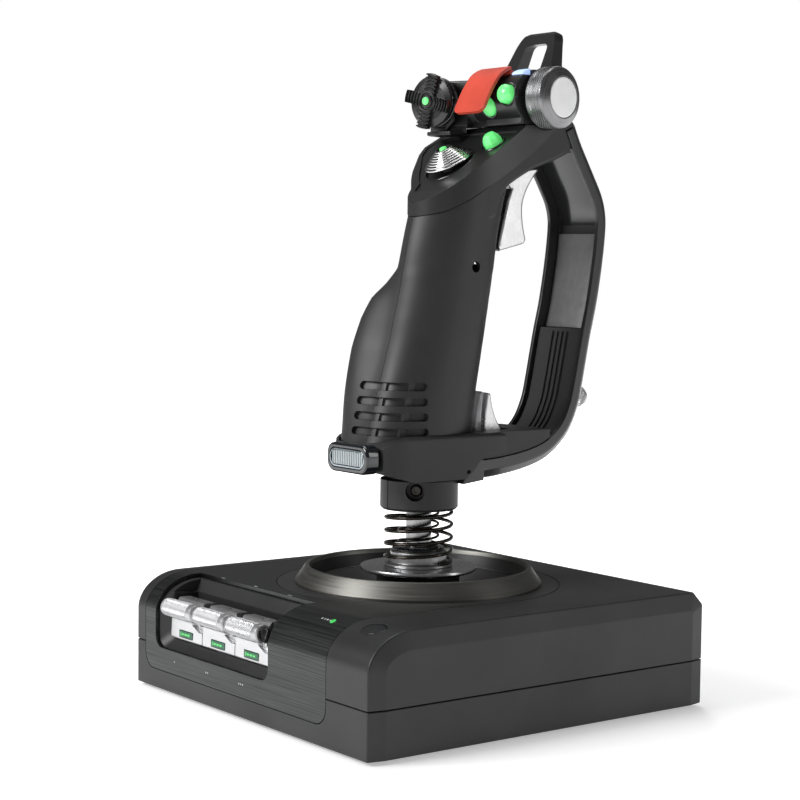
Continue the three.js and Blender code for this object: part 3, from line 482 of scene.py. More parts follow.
def brushed(name, colour, low, high, stretch, tint=(0.85, 1.18), metallic=1.0, line_depth=0.006):
    """Metal with straight brush lines: noise drawn out along the brushing."""
    shader = Shader(name, colour, (low + high) / 2, metallic)
    lines = shader.noise(shader.coordinates(stretch), 1, 4, 0.65)
    broad = shader.noise(shader.coordinates(), 9, 2)
    shader.vary_colour(lines, *tint)
    shader.vary_roughness(shader.math("ADD", shader.math("MULTIPLY", lines, 0.7),
                                      shader.math("MULTIPLY", broad, 0.3)), low, high)
    shader.bump(lines, line_depth)
    return shader.material


def spun(name, colour, low, high, centre_mm, axis, lines=1600, depth=0.005):
    """Metal turned or brushed round an axis."""
    shader = Shader(name, colour, (low + high) / 2, 1.0)
    centre = TO_FRAME @ Vector(centre_mm)
    around = shader.around(centre, axis, (lines, 1.6, lines))
    rings = shader.noise(around, 1, 3, 0.6)
    shader.vary_colour(rings, 0.85, 1.15)
    shader.vary_roughness(rings, low, high)
    shader.bump(rings, depth)
    return shader.material


def polished(name, colour, low, high):
    """Smooth metal or lacquer with faint wiping marks."""
    shader = Shader(name, colour, (low + high) / 2, 1.0)
    marks = shader.noise(shader.coordinates((60, 400, 150)), 1, 4, 0.7)
    shader.vary_roughness(marks, low, high)
    shader.vary_colour(shader.noise(shader.coordinates(), 40, 2), 0.92, 1.05)
    return shader.material


def lit_plastic(name, colour, glow, strength):
    """A translucent cap over a lamp: it glows the same all over, with a faint cloud in its colour and gloss.
    """
    shader = Shader(name, colour, 0.32)
    cloud = shader.noise(shader.coordinates(), 260, 3)
    shader.vary_colour(cloud, 0.92, 1.08)
    shader.vary_roughness(cloud, 0.24, 0.4)
    shader.bump(shader.noise(shader.coordinates(), 2600, 2), 0.006)
    shader.set(Emission_Color=(*glow, 1), Emission_Strength=strength, Coat_Weight=0.3,
               Subsurface_Weight=0.25, Subsurface_Scale=0.002)
    return shader.material


def clear_plastic(name, colour, roughness, transmission):
    shader = Shader(name, colour, roughness)
    cloud = shader.noise(shader.coordinates(), 140, 3)
    shader.vary_roughness(cloud, roughness * 0.7, roughness * 1.4)
    shader.vary_colour(cloud, 0.93, 1.06)
    shader.set(Transmission_Weight=transmission, IOR=1.49, Coat_Weight=0.5)
    return shader.material


STICK_FOOT = (0, STICK_Y, 0)
# Each look, by its short name: the record's material that it stands for, and its own material.
LOOK = {
    "casing": ("casing_black", moulded("casing_black", (0.0165, 0.0165, 0.0172), 0.36, 0.47)),
    "tray": ("casing_black", moulded("tray_black", (0.0175, 0.0175, 0.018), 0.40, 0.52)),
    "grip": ("grip_black", moulded("grip_black", (0.0165, 0.0165, 0.017), 0.44, 0.54, 0.3, 0.014)),
    "head": ("casing_black", moulded("head_black", (0.0135, 0.0135, 0.014), 0.27, 0.38, 0.3, 0.006)),
    "panel": ("casing_black", moulded("panel_black", (0.009, 0.009, 0.0095), 0.30, 0.42)),
    "gloss": ("gloss_black", moulded("gloss_black", (0.010, 0.0105, 0.0115), 0.12, 0.22, 0.5, 0.002,
                                     0.5)),
    "guard": ("gloss_black", moulded("guard_black", (0.016, 0.016, 0.0165), 0.28, 0.4, 0.4, 0.004, 0.25)),
    "tub": ("casing_black", moulded("tub_black", (0.019, 0.019, 0.0195), 0.36, 0.48)),
    "nose": ("gloss_black", moulded("nose_black", (0.006, 0.0085, 0.011), 0.08, 0.14, 0.5, 0.001, 0.6)),
    "lamp": ("lit_green", lit_plastic("lamp_green", (0.05, 0.5, 0.1), (0.06, 0.75, 0.12), 0.3)),
    "lens_back": ("clear_lens", moulded("lens_back", (0.075, 0.10, 0.11), 0.2, 0.3, 0.5, 0.002)),
    "dark_steel": ("spring_wire", polished("blackened_steel", (0.035, 0.033, 0.03), 0.2, 0.32)),
    # The carriers under the hats are coloured darker than the casing: painted shade for their recesses.
    "dark": ("casing_black", moulded("painted_recess_shade", (0.006, 0.006, 0.006), 0.5, 0.65)),
    "dish": ("dish_black", moulded("dish_black", (0.012, 0.012, 0.012), 0.34, 0.5)),
    "rubber": ("foot_rubber", moulded("rubber_black", (0.010, 0.010, 0.0105), 0.5, 0.66, 0.5, 0.02)),
    "insert": ("insert_grey", brushed("insert_grey", (0.26, 0.26, 0.262), 0.28, 0.4, (250, 900, 60),
                                      (0.9, 1.1), 0.6)),
    "fascia": ("fascia_gunmetal", brushed("fascia_gunmetal", (0.067, 0.069, 0.069), 0.26, 0.42,
                                          (16, 900, 1500), (0.55, 1.5))),
    "ring": ("ring_gunmetal", spun("ring_gunmetal", (0.17, 0.168, 0.155), 0.34, 0.48, STICK_FOOT,
                                   (0, 0, 1), 1100)),
    "shaft": ("shaft_steel", spun("shaft_steel", (0.30, 0.30, 0.305), 0.17, 0.28, STICK_FOOT, (0, 0, 1),
                                  900)),
    "plate": ("polished_steel", spun("plate_steel", (0.56, 0.56, 0.57), 0.20, 0.32, STICK_FOOT, (0, 0, 1),
                                     1400, 0.003)),
    "seat": ("polished_steel", spun("seat_steel", (0.42, 0.42, 0.425), 0.3, 0.42, STICK_FOOT, (0, 0, 1),
                                    1000)),
    "bar": ("silver_aluminium", brushed("bar_aluminium", (0.56, 0.56, 0.57), 0.36, 0.48, (500, 120, 500),
                                        (0.93, 1.06))),
    "label": ("casing_black", moulded("label_grey", (0.045, 0.045, 0.046), 0.36, 0.48)),
    "wire": ("spring_wire", polished("spring_wire", (0.05, 0.044, 0.038), 0.16, 0.26)),
    "machined": ("machined_steel", brushed("machined_steel", (0.4, 0.4, 0.41), 0.26, 0.4,
                                           (200, 200, 1500))),
    "silver": ("silver_aluminium", brushed("satin_silver", (0.66, 0.66, 0.67), 0.27, 0.38,
                                           (120, 500, 500), (0.93, 1.06))),
    "trigger": ("trigger_silver", polished("trigger_silver", (0.68, 0.68, 0.685), 0.24, 0.34)),
    "cone": ("polished_steel", polished("cone_steel", (0.62, 0.62, 0.62), 0.08, 0.16)),
    "dial": ("silver_aluminium", spun("dial_aluminium", (0.25, 0.25, 0.255), 0.25, 0.36,
                                      (KNOB["x"], KNOB["y"], KNOB["z"]),
                                      (math.cos(KNOB["turn"]), math.sin(KNOB["turn"]), 0), 1500)),
    "dial_face": ("silver_aluminium", moulded("dial_face_white", (0.94, 0.94, 0.945), 0.34, 0.44, 0.5,
                                              0.004)),
    "red": ("red_plastic", moulded("cover_red", (0.58, 0.066, 0.038), 0.36, 0.46, 0.3, 0.005)),
    "green": ("lit_green", lit_plastic("lit_green", (0.16, 0.72, 0.22), (0.13, 0.9, 0.2), 0.42)),
    "blue": ("lit_blue", lit_plastic("lit_blue", (0.55, 0.68, 0.97), (0.42, 0.6, 1.0), 0.6)),
    "lens": ("clear_lens", clear_plastic("clear_lens", (0.62, 0.68, 0.70), 0.16, 0.35)),
    "smoke": ("smoke_clear", clear_plastic("smoke_clear", (0.5, 0.5, 0.51), 0.14, 0.5)),
    "board": ("board_green", moulded("board_green", (0.012, 0.09, 0.035), 0.3, 0.45)),
    "window": ("lit_green", moulded("window_green", (0.012, 0.10, 0.045), 0.2, 0.3)),
    "trim": ("gloss_black", polished("trim_chrome", (0.30, 0.34, 0.36), 0.1, 0.2)),
    "hat": ("casing_black", moulded("hat_black", (0.014, 0.014, 0.0145), 0.24, 0.34, 0.3, 0.004)),
    "mark": ("insert_grey", moulded("print_grey", (0.42, 0.42, 0.42), 0.5, 0.6)),
}


# ---------- base ----------
def side_profile(inset, bottom):
    """The cover seen from the side: an elliptical front edge and a chamfered rear edge."""
    depth, top = HALF_DEPTH - inset, BASE_TOP - inset
    round_y, round_z = FRONT_ROUND
    centre = (-HALF_DEPTH + round_y, BASE_TOP - round_z)
    front = arc(centre, (round_y - inset, round_z - inset), 180, 90, 24)
    slope = REAR_EDGE + 0.4 * inset
    rear = [(0, top), (HALF_DEPTH - slope, top), (depth, BASE_TOP - slope), (depth, bottom)]
    return [(-depth, bottom), *front, *rounded(rear, [0, 2, 2, 0], 4)[1:]]


def cover_form(inset, bottom):
    """The cover's outer form, pulled in by inset on every side but the bottom, with chamfered sides."""
    side = HALF_WIDTH - inset
    section = [(side, inset + EDGE + 3), (side, inset + EDGE), (side - EDGE_IN, inset),
               (side - EDGE_IN - 3, inset)]
    section = rounded(section, [0, 3, 1, 0], 4)
    right = [[(x, y, z) for y, z in side_profile(depth, bottom)] for x, depth in section]
    left = [[(-x, y, z) for x, y, z in row] for row in reversed(right)]
    return grid_form(right + left)


def plan_outline(inset=0):
    x, y = HALF_WIDTH - inset, HALF_DEPTH - inset
    long, short = y - EDGE, x - EDGE_IN
    corners = [(-short, -y), (short, -y), (x, -long), (x, long), (short, y), (-short, y), (-x, long),
               (-x, -long)]
    return rounded(corners, [1, 1, 3, 3, 1, 1, 3, 3], 4)


def round_disc(radius, low, high, segments=120):
    return moved(turned([(0, low), (radius, low), (radius, high), (0, high)], segments), y=STICK_Y)


def fascia_region(grow):
    """All that the fascia covers: its front outline swept back, less the round skirt at the stick."""
    outline = rounded_rect(FASCIA["left"] - grow, FASCIA["right"] + grow, FASCIA["bottom"] - grow,
                           BASE_TOP + 20, FASCIA["corner"])
    sweep = prism("y", outline, -HALF_DEPTH - 5, 62)
    right_rear = block(0, FASCIA["right"] + 20, -24 + grow, 100, 0, BASE_TOP + 30)
    return cut(sweep, round_disc(SKIRT_R - grow, 0, BASE_TOP + 30), right_rear)


def pocket_opening(grow):
    outline = rounded_rect(POCKET["left"] - grow, POCKET["right"] + grow, POCKET["bottom"] - grow,
                           BASE_TOP + 20, 6)
    return prism("y", outline, -HALF_DEPTH - 5, POCKET["lip"] + grow)


def make_tray():
    body = prism("z", plan_outline(), FOOT_H, SEAM_Z - 0.25, 0.5, 2)
    hollow = prism("z", plan_outline(3), FOOT_H + 3, SEAM_Z + 5)
    seat = meet(fascia_region(0.35), block(-95, 95, -HALF_DEPTH - 5, -HALF_DEPTH + 2.3, 0, 60))
    reach = 2.1
    tub_seat = block(POCKET["left"] - reach, POCKET["right"] + reach, -HALF_DEPTH - 5, 0,
                     POCKET["bottom"] - reach, 60)
    screws = [moved(turned([(0, -1), (3.4, -1), (3.4, 3), (0, 3)], 32), x, y, FOOT_H)
              for x in (-70, 70) for y in (-70, 70)]
    cut(body, hollow, seat, tub_seat, *screws)
    piece(body, "tray", "base", "tray", ["base_tray"], edge=0.3, crease=50)


def make_cover():
    body = cut(cover_form(0, SEAM_Z + 0.25), cover_form(4.2, SEAM_Z - 1))
    seat = meet(cut(cover_form(-1, 5), cover_form(2.3, 4)), fascia_region(0.35))
    ring_hole = round_disc(RING["outer"] - 5.5, 40, 70)
    inlet = rod(5.3, (60, HALF_DEPTH - 10, 36), (60, HALF_DEPTH + 5, 36))
    skirt_line = moved(turned([(69.7, 56.3), (70.3, 56.3), (70.3, 60), (69.7, 60)], 160), y=STICK_Y)
    cut(body, seat, pocket_opening(2.4), ring_hole, inlet, skirt_line)
    piece(body, "cover", "base", "casing", ["base_cover"], edge=0.22, crease=50)


def number_dots(radius, deep, shallow):
    """Rods for the engraved dots that number the toggles, one, two and three in a row."""
    z, pitch = 17.4, 1.6
    firsts = [TOGGLE["first"] + number * TOGGLE["pitch"] - 4 for number in range(3)]
    places = [first + pitch * dot for number, first in enumerate(firsts) for dot in range(number + 1)]
    return [rod(radius, (x, -HALF_DEPTH + deep, z), (x, -HALF_DEPTH + shallow, z), 16) for x in places]


def make_fascia():
    skin = cut(cover_form(0, FASCIA["bottom"] - 1), cover_form(2, FASCIA["bottom"] - 2))
    body = cut(meet(skin, fascia_region(0)), pocket_opening(0), *number_dots(0.5, 0.15, -1))
    piece(body, "fascia", "base", "fascia", ["fascia_plate"], edge=0.3, crease=50)


def make_tub():
    """The recess behind the toggles: a sloping rim round the opening, then straight walls."""
    left, right, bottom = POCKET["left"], POCKET["right"], POCKET["bottom"]
    front, roof = -HALF_DEPTH + 2.3, BASE_TOP - 2.3
    outer = block(left - 1.8, right + 1.8, front, POCKET["lip"] + 1.8, bottom - 1.8, roof)
    meet(outer, cover_form(2.3, 10))
    stations = [(front - 9, 0, 0), (front + 0.2, 0, 0), (front + 4.6, 5, 5), (front + 5.6, 5.4, 5.6),
                (POCKET["back"], 5.6, 6.4)]
    rows = [[(x, y, z) for x, z in rounded_rect(left + side, right - side, bottom + rise, 80, 6)]
            for y, side, rise in stations]
    hole = grid_form(rows)
    slope = [(-99, 50), (POCKET["back"], POCKET["back_top"] - 4), (POCKET["lip"] - 0.6, BASE_TOP + 1),
             (-99, BASE_TOP + 1)]
    back_slope = prism("x", rounded(slope, [0, 2, 0, 0]), left + 4, right - 4)
    cut(outer, hole, back_slope)
    piece(outer, "tub", "base", "tub", ["toggle_bezel"], edge=0.3, crease=45)


def make_ring_and_dish():
    foot = BASE_TOP + 0.05
    inner, outer, rim_z = RING["inner"], RING["outer"], RING["rim_z"]
    ring = [(inner, foot), (outer, foot), (outer, foot + 1), (57.2, 63.2), (55.8, rim_z), (54, rim_z),
            (inner + 0.6, 60)]
    collar = moved(turned(rounded(ring, [0, 0, 0.3, 0.8, 0.5, 0.7, 0.5], 4), 200), y=STICK_Y)
    piece(collar, "collar", "base", "ring", ["collar_ring"])
    # A dark skin laid just inside the ring's inner wall: painted shade, darker than the ring's own gunmetal.
    shade_skin = [(inner - 0.1, foot + 0.7), (inner + 0.5, 60), (53.8, rim_z - 0.9), (54, rim_z - 0.9),
              (inner + 0.9, 59.9), (inner + 0.2, foot + 0.7)]
    shade_skin = moved(turned(shade_skin, 200), y=STICK_Y)
    piece(shade_skin, "collar_shade_skin", "base", "dish")
    bowl = [(28, 45), (29.6, 45), (29.6, 48.4), (52, 54.2), (55, 54.2), (55, 56.4), (51.6, 56.4),
            (51.6, 57.4), (49.4, 57.4), (36, 50.4), (28, 50.4)]
    dish = moved(turned(rounded(bowl, [0, 0, 0, 0, 0, 0, 0, 0.3, 1.2, 3, 0.6], 4), 160), y=STICK_Y)
    piece(dish, "dish", "base", "dish", ["gimbal_dish"])


def make_feet_and_gland():
    for i, (x, y) in enumerate([(-84, -84), (84, -84), (-84, 84), (84, 84)], 1):
        profile = [(0, 0), (8.8, 0), (9, 0.5), (9, FOOT_H - 0.1), (0, FOOT_H - 0.1)]
        foot = moved(soft_turned(profile, 0.4, 64), x, y)
        grip = [moved(turned([(r, -1), (r + 0.7, -1), (r + 0.7, 0.35), (r, 0.35)], 64), x, y)
                for r in (3, 5.4)]
        piece(cut(foot, *grip), f"foot_pad_{i}", "base", "rubber", [f"foot_{i}"])
    profile = [(2.6, -8), (5, -8), (5, 0.3), (7, 0.3), (7, 2), (5.6, 3.4), (2.6, 3.4)]
    gland = aimed(soft_turned(profile, 0.35, 64), (60, HALF_DEPTH, 36), (0, 1, 0))
    piece(gland, "gland", "base", "rubber", ["cable_gland"])


def on_front_edge(x, y, inset=0.0):
    """A place on the cover's rounded front edge, and the way the skin faces there."""
    round_y, round_z = FRONT_ROUND
    centre = Vector((0, -HALF_DEPTH + round_y, BASE_TOP - round_z))
    share = max(-1.0, (y - centre.y) / round_y)
    z = centre.z + round_z * math.sqrt(1 - share * share) if share < 0 else BASE_TOP
    out = Vector((0, min(share, 0) / round_y, max(z - centre.z, 0) / round_z ** 2)).normalized()
    return Vector((x, y, z)) - out * inset, out


def make_base_details():
    """Small marks on the base: a status light, an empty oval badge, numbering dots and short dashes."""
    place, out = on_front_edge(54.4, -88.4, 0.5)
    light = aimed(soft_turned([(0, 0), (1.5, 0), (1.5, 0.7), (0, 0.85)], 0.1, 32), place, out)
    piece(light, "status_light", "base", "lamp")
    place, out = on_front_edge(82, -86, 0.4)
    badge = arc((0, 0), (7.2, 5.2), 0, 360, 72)
    inside = [(0.82 * x, 0.82 * y) for x, y in badge]
    rim = cut(prism("z", badge, 0, 0.55, 0.2), prism("z", inside, 0.4, 1))
    piece(aimed(rim, place, out), "badge", "base", "gloss")
    marks = number_dots(0.45, 0.5, 0.06)
    for number in range(3):
        place, _ = on_front_edge(TOGGLE["first"] + number * TOGGLE["pitch"] - 2, -74, 0.5)
        marks.append(moved(block(-1.4, 1.4, -0.3, 0.3, 0, 0.53), place.x, place.y, place.z))
    for i, width in enumerate((1.2, 0.7, 1.5, 0.9)):
        place, out = on_front_edge(46 + 2.1 * i, -88.2, 0.5)
        marks.append(aimed(block(-width / 2, width / 2, -0.5, 0.5, 0, 0.53), place, out))
    for i, mark in enumerate(marks, 1):
        piece(mark, f"print_{i}", "base", "mark")


# ---------- stick ----------
def coil(mean_r, wire_r, pitch, low, high, segments=40, ring=12):
    """A wound wire whose first and last turns lie flat against their seats."""
    lie_flat = 0.75
    turns = (high - low - 2 * wire_r) / pitch + 2 * lie_flat * 0.7
    rows, height, count = [], low + wire_r, int(turns * segments)
    climbs = [min(1.0, 0.12 + min(i, count - i) / (lie_flat * segments)) for i in range(count)]
    climb = (high - low - 2 * wire_r) / sum(climbs)
    for i in range(count + 1):
        angle = math.tau * i / segments
        out = Vector((math.cos(angle), math.sin(angle), 0))
        centre = out * mean_r + Vector((0, 0, height))
        turn = [math.tau * k / ring for k in range(ring)]
        rows.append([centre + out * (wire_r * math.cos(a)) + Vector((0, 0, wire_r * math.sin(a)))
                     for a in turn])
        height += climbs[i] * climb if i < count else 0
    return moved(grid_form(rows), y=STICK_Y)


def on_stick(profile, radius=0.4, segments=120):
    return moved(soft_turned(profile, radius, segments), y=STICK_Y)


def make_stick():
    bore = SHAFT_R + 0.05
    shaft = on_stick([(0, 47.1), (SHAFT_R, 47.1), (SHAFT_R, 134), (0, 134)], 0.3)
    piece(shaft, "shaft", "stick", "shaft", ["stick_shaft"])
    hub = on_stick([(bore, 59), (18.6, 59), (18.6, 52.6), (20.6, 52.6), (20.6, PLATE_Z - 0.05),
                    (bore, PLATE_Z - 0.05)], 0.3)
    notches = []
    for i in range(8):
        angle = math.tau * (i + 0.5) / 8
        place = (19.6 * math.cos(angle), 19.6 * math.sin(angle) + STICK_Y, 52)
        turn = Matrix.Rotation(angle, 4, "Z")
        notches.append(transformed(block(-3, 3, -2.6, 2.6, -2, 6), Matrix.Translation(place) @ turn))
    piece(cut(hub, *notches), "hub", "stick", "dish", ["plate_hub"], edge=0.2, crease=45)
    plate = [(bore, PLATE_Z), (PLATE_R - 1, PLATE_Z), (PLATE_R, PLATE_Z + 0.9),
             (PLATE_R - 0.3, PLATE_Z + 2.2), (PLATE_R - 1.6, PLATE_Z + 2.3), (bore, PLATE_Z + 2.3)]
    piece(on_stick(plate, 0.35, 200), "plate", "stick", "plate", ["spring_plate"])
    seat = [(bore, 65.2), (16.8, 65.2), (16.8, 66.4), (13.9, 67), (13.9, 72.2), (12.9, 73), (bore, 73)]
    piece(on_stick(seat, 0.3), "seat", "stick", "seat", ["spring_seat"])
    cap = [(bore, 73.05), (12.7, 73.05), (13.2, 73.8), (12.2, 74.6), (bore, 74.6)]
    piece(on_stick(cap, 0.25), "seat_cap", "stick", "gloss")
    piece(coil(16.4, 0.88, 7.3, 66.5, 93.3), "spring_outer", "stick", "wire", ["outer_spring"])
    piece(coil(9.7, 0.66, 6.6, 74.7, 93.3), "spring_inner", "stick", "wire", ["inner_spring"])


# ---------- toggles ----------
def knurled(radius, length, around, along, depth, segments_around, segments_along, ends=0.6):
    """A rod about +Z with a diamond knurl: two sets of helical grooves that fade out at its ends."""
    def wave(turns):
        return abs((turns % 1) * 2 - 1)

    rows = []
    for i in range(segments_along + 1):
        height = length * i / segments_along
        fade = min(1, height / ends, (length - height) / ends)
        row = []
        for k in range(segments_around):
            turns = k / segments_around
            crossing = min(wave(turns * around + height * along), wave(turns * around - height * along))
            r = radius - depth * (1 - crossing) * fade - depth * (1 - fade)
            row.append((r * math.cos(math.tau * turns), r * math.sin(math.tau * turns), height))
        rows.append(row)
    return grid_form(rows)


def make_toggle_body(number, x, body_name):
    """A rocker's white body, with its window, a slot on top and steps at its right end for the next one."""
    half = TOGGLE["width"] / 2
    side = [(-96.8, 27.6), (-92, 27.6), (-86, 31), (-83.5, 38), (-85, 47.2), (-92, 47.6), (-94, 44),
            (-96.4, 37.4)]
    body = prism("x", rounded(side, [1.4, 1, 2, 3, 1.6, 1.6, 0.8, 1], 4), -half, half, 0.5)
    web = block(-half + 0.4, half - 5, -97.4, -91, 38.5, 46)
    slot = block(-6, 2, -90.4, -86, 46.2, 50)
    slot_end = block(1.2, 2, -92, -86, 46.8, 50)
    bore = rod(1.9, (-half - 1, -87, 36), (half + 1, -87, 36))
    window = block(-6.4, 6.4, -98, -96.1, 29.1, 32.9, 0.3)
    bar_notch = block(half - 4.6, half + 2, -110, -82, 36.6, 60)
    step = [(half - 9, 36.5), (half - 3, 33.8), (half + 2, 33.8), (half + 2, 38), (half - 9, 38)]
    shoulder = prism("y", step, -110, -94.6)
    body = cut(join(body, web), slot, slot_end, bore, window, bar_notch, shoulder)
    piece(moved(body, x), f"toggle_body_{number}", body_name, "silver", [f"toggle_{number}"],
          edge=0.25, crease=40)


def make_toggle_bar(number, x, body_name):
    """The knurled bar along a rocker's top edge, with a plain tip, a collar and a screw in its right end."""
    y, z, radius = TOGGLE["bar_y"], TOGGLE["bar_z"], TOGGLE["bar_r"]
    start, end = -TOGGLE["width"] / 2 - 4.4, TOGGLE["width"] / 2 - 4.6
    along = (1, 0, 0)
    grip = aimed(knurled(radius, end - start - 6.6, 20, 0.7, 0.5, 160, 150), (start + 1.4, y, z), along)
    tip = [(0, 0), (radius - 1.2, 0), (radius - 0.1, 1.0), (radius - 0.1, 1.5), (0, 1.5)]
    left = aimed(soft_turned(tip, 0.5, 64), (start, y, z), along)
    collar = [(0, 0), (radius - 0.9, 0), (radius - 0.9, 0.5), (radius, 1), (radius, 5),
              (radius - 0.8, 5.4), (2.6, 5.4), (2.6, 3.2), (0, 3.2)]
    right = aimed(soft_turned(collar, 0.3, 64), (end - 5.4, y, z), along)
    piece(moved(join(grip, left, right), x), f"toggle_bar_{number}", body_name, "bar", crease=14)
    screw = soft_turned([(0, 0), (2.4, 0), (2.4, 0.9), (1.9, 1.3), (0, 1.3)], 0.2, 40)
    cross = [block(-1.5, 1.5, -0.28, 0.28, 0.7, 2), block(-0.28, 0.28, -1.5, 1.5, 0.7, 2)]
    piece(aimed(cut(screw, *cross), (x + end - 2.1, y, z), along), f"toggle_screw_{number}", body_name,
          "wire")


def make_toggle(number):
    x = TOGGLE["first"] + (number - 1) * TOGGLE["pitch"]
    body_name = "toggle_" + "abc"[number - 1]
    make_toggle_body(number, x, body_name)
    make_toggle_bar(number, x, body_name)
    lens = block(-6.1, 6.1, -96.9, -96.2, 29.35, 32.65, 0.2)
    piece(moved(lens, x), f"toggle_window_{number}", body_name, "window", [f"toggle_lens_{number}"])
    marks = [block(-4.8, -4.2, -96.96, -96.5, 30.1, 31.9)]
    marks += [block(-3.6 + 2.6 * i, -1.6 + 2.6 * i, -96.96, -96.5, 30.5, 31.5) for i in range(3)]
    piece(moved(join(*marks), x), f"toggle_marks_{number}", body_name, "lamp")


# ---------- grip ----------
# Stations up the grip: height, rear (user) face, front face and how far the palm swell stands out.
STATIONS = [(112, -35, 27.5, 11), (130, -30.6, 30, 12.5), (151, -25, 32.6, 15.5), (172, -19, 36, 17),
            (187, -15.4, 38.4, 15), (197, -13, 40, 11.5), (204, -11.4, 41.2, 5.5), (212, -9.8, 42.6, 0.5),
            (237, -4.3, 46.4, 0), (270, 3, 54, 0)]
GRIP_SCREW = (20.2, 212.6)
VENTS = {"top": 154.6, "pitch": 7.3, "end": -7.5}
SEAM_LINE = [(-30, 231), (-4.5, 236.6), (5, 239.6), (16, 245), (36, 257), (55.7, 270), (69, 281.5),
             (78, 290)]


def through(values, t):
    """A smooth curve through four neighbouring values, at t from the second to the third."""
    a, b, c, d = values
    return 0.5 * (2 * b + (c - a) * t + (2 * a - 5 * b + 4 * c - d) * t * t
                  + (3 * b - a - 3 * c + d) * t ** 3)


def station_at(z):
    """Rear face, front face and swell at a height, on a smooth curve through the stations."""
    upper = next((i for i, s in enumerate(STATIONS) if s[0] >= z and i > 0), len(STATIONS) - 1)
    picks = [STATIONS[min(max(i, 0), len(STATIONS) - 1)] for i in range(upper - 2, upper + 2)]
    t = (z - picks[1][0]) / (picks[2][0] - picks[1][0])
    rear, front, swell = (through([p[k] for p in picks], t) for k in (1, 2, 3))
    return rear, front, max(0, swell)


def section_point(angle, z, inset):
    """A point of the grip's section: an egg shape with a bump at the rear left for the palm."""
    rear, front, swell = station_at(z)
    depth = (front - rear) / 2 - inset
    power = 1 + 0.12 * (max(0, -math.sin(angle)) > 0) * max(0, 1 - swell / 4)
    side = math.copysign(abs(math.cos(angle)) ** power, math.cos(angle))
    away = (math.degrees(angle) - SWELL_ANGLE + 540) % 360 - 180
    bump = swell * math.exp(-((away / SWELL_SPREAD) ** 2))
    x = side * (GRIP_HALF - inset) + bump * math.cos(angle)
    return (x, (rear + front) / 2 + math.sin(angle) * (depth + bump), z)


def grip_form(low, high, inset=0, segments=120, step=2.5):
    count = math.ceil((high - low) / step)
    angles = [math.tau * i / segments for i in range(segments)]
    rows = [[section_point(a, low + (high - low) * i / count, inset) for a in angles]
            for i in range(count + 1)]
    return grid_form(rows)


def vent_slots():
    """Four slots round the rear of the grip, one above another, that run forward on the right side."""
    slots = []
    for i in range(4):
        z = VENTS["top"] - i * VENTS["pitch"]
        rear = station_at(z)[0]
        mouth = prism("y", rounded_rect(-12, 17.5, z - 2, z + 2, 1.95), rear - 20, rear + 9)
        side = prism("x", rounded_rect(rear + 2, VENTS["end"], z - 2, z + 2, 1.95), 13, 30)
        slots.append(join(mouth, side))
    return slots


def make_vent_liner():
    """A dark skin behind the vent slots, with one upright rib."""
    liner = meet(cut(grip_form(127.5, 160.5, 2.7, 96), grip_form(127, 161, 3.5, 96)),
                 block(-30, 30, -70, 6, 128, 160))
    rib = meet(cut(grip_form(127.5, 160.5, 1.3, 96), grip_form(127, 161, 3.2, 96)),
               block(0.8, 3.4, -70, 0, 129, 159.6))
    piece(join(liner, rib), "vent_liner", "handle", "tub")


def make_grip():
    below = [(y, z - 0.2) for y, z in reversed(SEAM_LINE)]
    region = prism("x", [(-70, 100), (120, 100), (120, 290), *below, (-70, 231)], -60, 60)
    yoke = [(16, 234), (33, 236), (36.5, 247), (41, 252.6), (49, 257.3), (57, 261.5), (72, 266.5),
            (80, 270), (86.8, 278), (84, 286), (76, 290), (60, 290), (16, 262)]
    yoke_form = prism("x", rounded(yoke, [0, 5, 8, 8, 8, 8, 8, 6, 5, 4, 4, 0, 0], 6),
                      -GRIP_HALF + 0.6, GRIP_HALF - 0.6, 2.4, 6)
    outer = meet(join(grip_form(GRIP_BOTTOM, 269), yoke_form), region)
    hollow = grip_form(GRIP_BOTTOM - 2, 236, 2.6, 72, 6)
    guard_seat = prism("x", guard_band(-8, GUARD_DEPTH + 0.2, 0, 0.3, 30), -60, 60)
    trigger_slot = block(-7.6, 7.6, 33, 74, 214, 264.2)
    pinkie_slot = block(-7.6, 7.6, 24, 60, GRIP_BOTTOM - 2, 152)
    screw_hole = rod(2.7, (14, *GRIP_SCREW), (26, *GRIP_SCREW))
    body = cut(outer, hollow, guard_seat, trigger_slot, pinkie_slot, screw_hole, *vent_slots())
    for side, name in ((1, "right"), (-1, "left")):
        keep = block(0.12, 60, -80, 120, 100, 300) if side > 0 else block(-60, -0.12, -80, 120, 100, 300)
        half = meet(copy_of(body), keep)
        piece(half, f"grip_shell_{name}", "handle", "grip", [f"grip_{name}"], edge=0.3, crease=30)
    bpy.data.objects.remove(body)
    screw = soft_turned([(0, 0), (2.4, 0), (2.4, 1), (1.8, 1.5), (0, 1.5)], 0.2, 32)
    piece(aimed(screw, (13.4, *GRIP_SCREW), (1, 0, 0)), "grip_screw", "handle", "dark_steel")
    make_vent_liner()


def make_neck():
    bore = SHAFT_R + 0.05
    profile = [(bore, NECK_Z), (NECK_R - 1.2, NECK_Z), (NECK_R, NECK_Z + 1.2), (NECK_R, NECK_TOP),
               (15, NECK_TOP), (15, 140), (bore, 140)]
    neck = on_stick(profile, 0.4)
    out = Vector((0.72, -0.69, 0))
    start = Vector((0, STICK_Y, 103.6))
    hole = rod(4.7, start + out * 13, start + out * 24, 64)
    groove = block(-0.3, 0.3, STICK_Y - NECK_R - 2, STICK_Y - NECK_R + 0.7, 90, 112)
    piece(cut(neck, hole, groove), "neck", "handle", "grip", ["handle_neck"], edge=0.3, crease=45)
    screw = soft_turned([(0, 0), (3, 0), (3, 1.1), (2.2, 1.7), (0, 1.7)], 0.2, 32)
    socket = prism("z", arc((0, 0), 1.5, 0, 360, 6), 0.7, 3)
    piece(aimed(cut(screw, socket), start + out * 12.4, out), "neck_screw", "handle", "dark_steel")


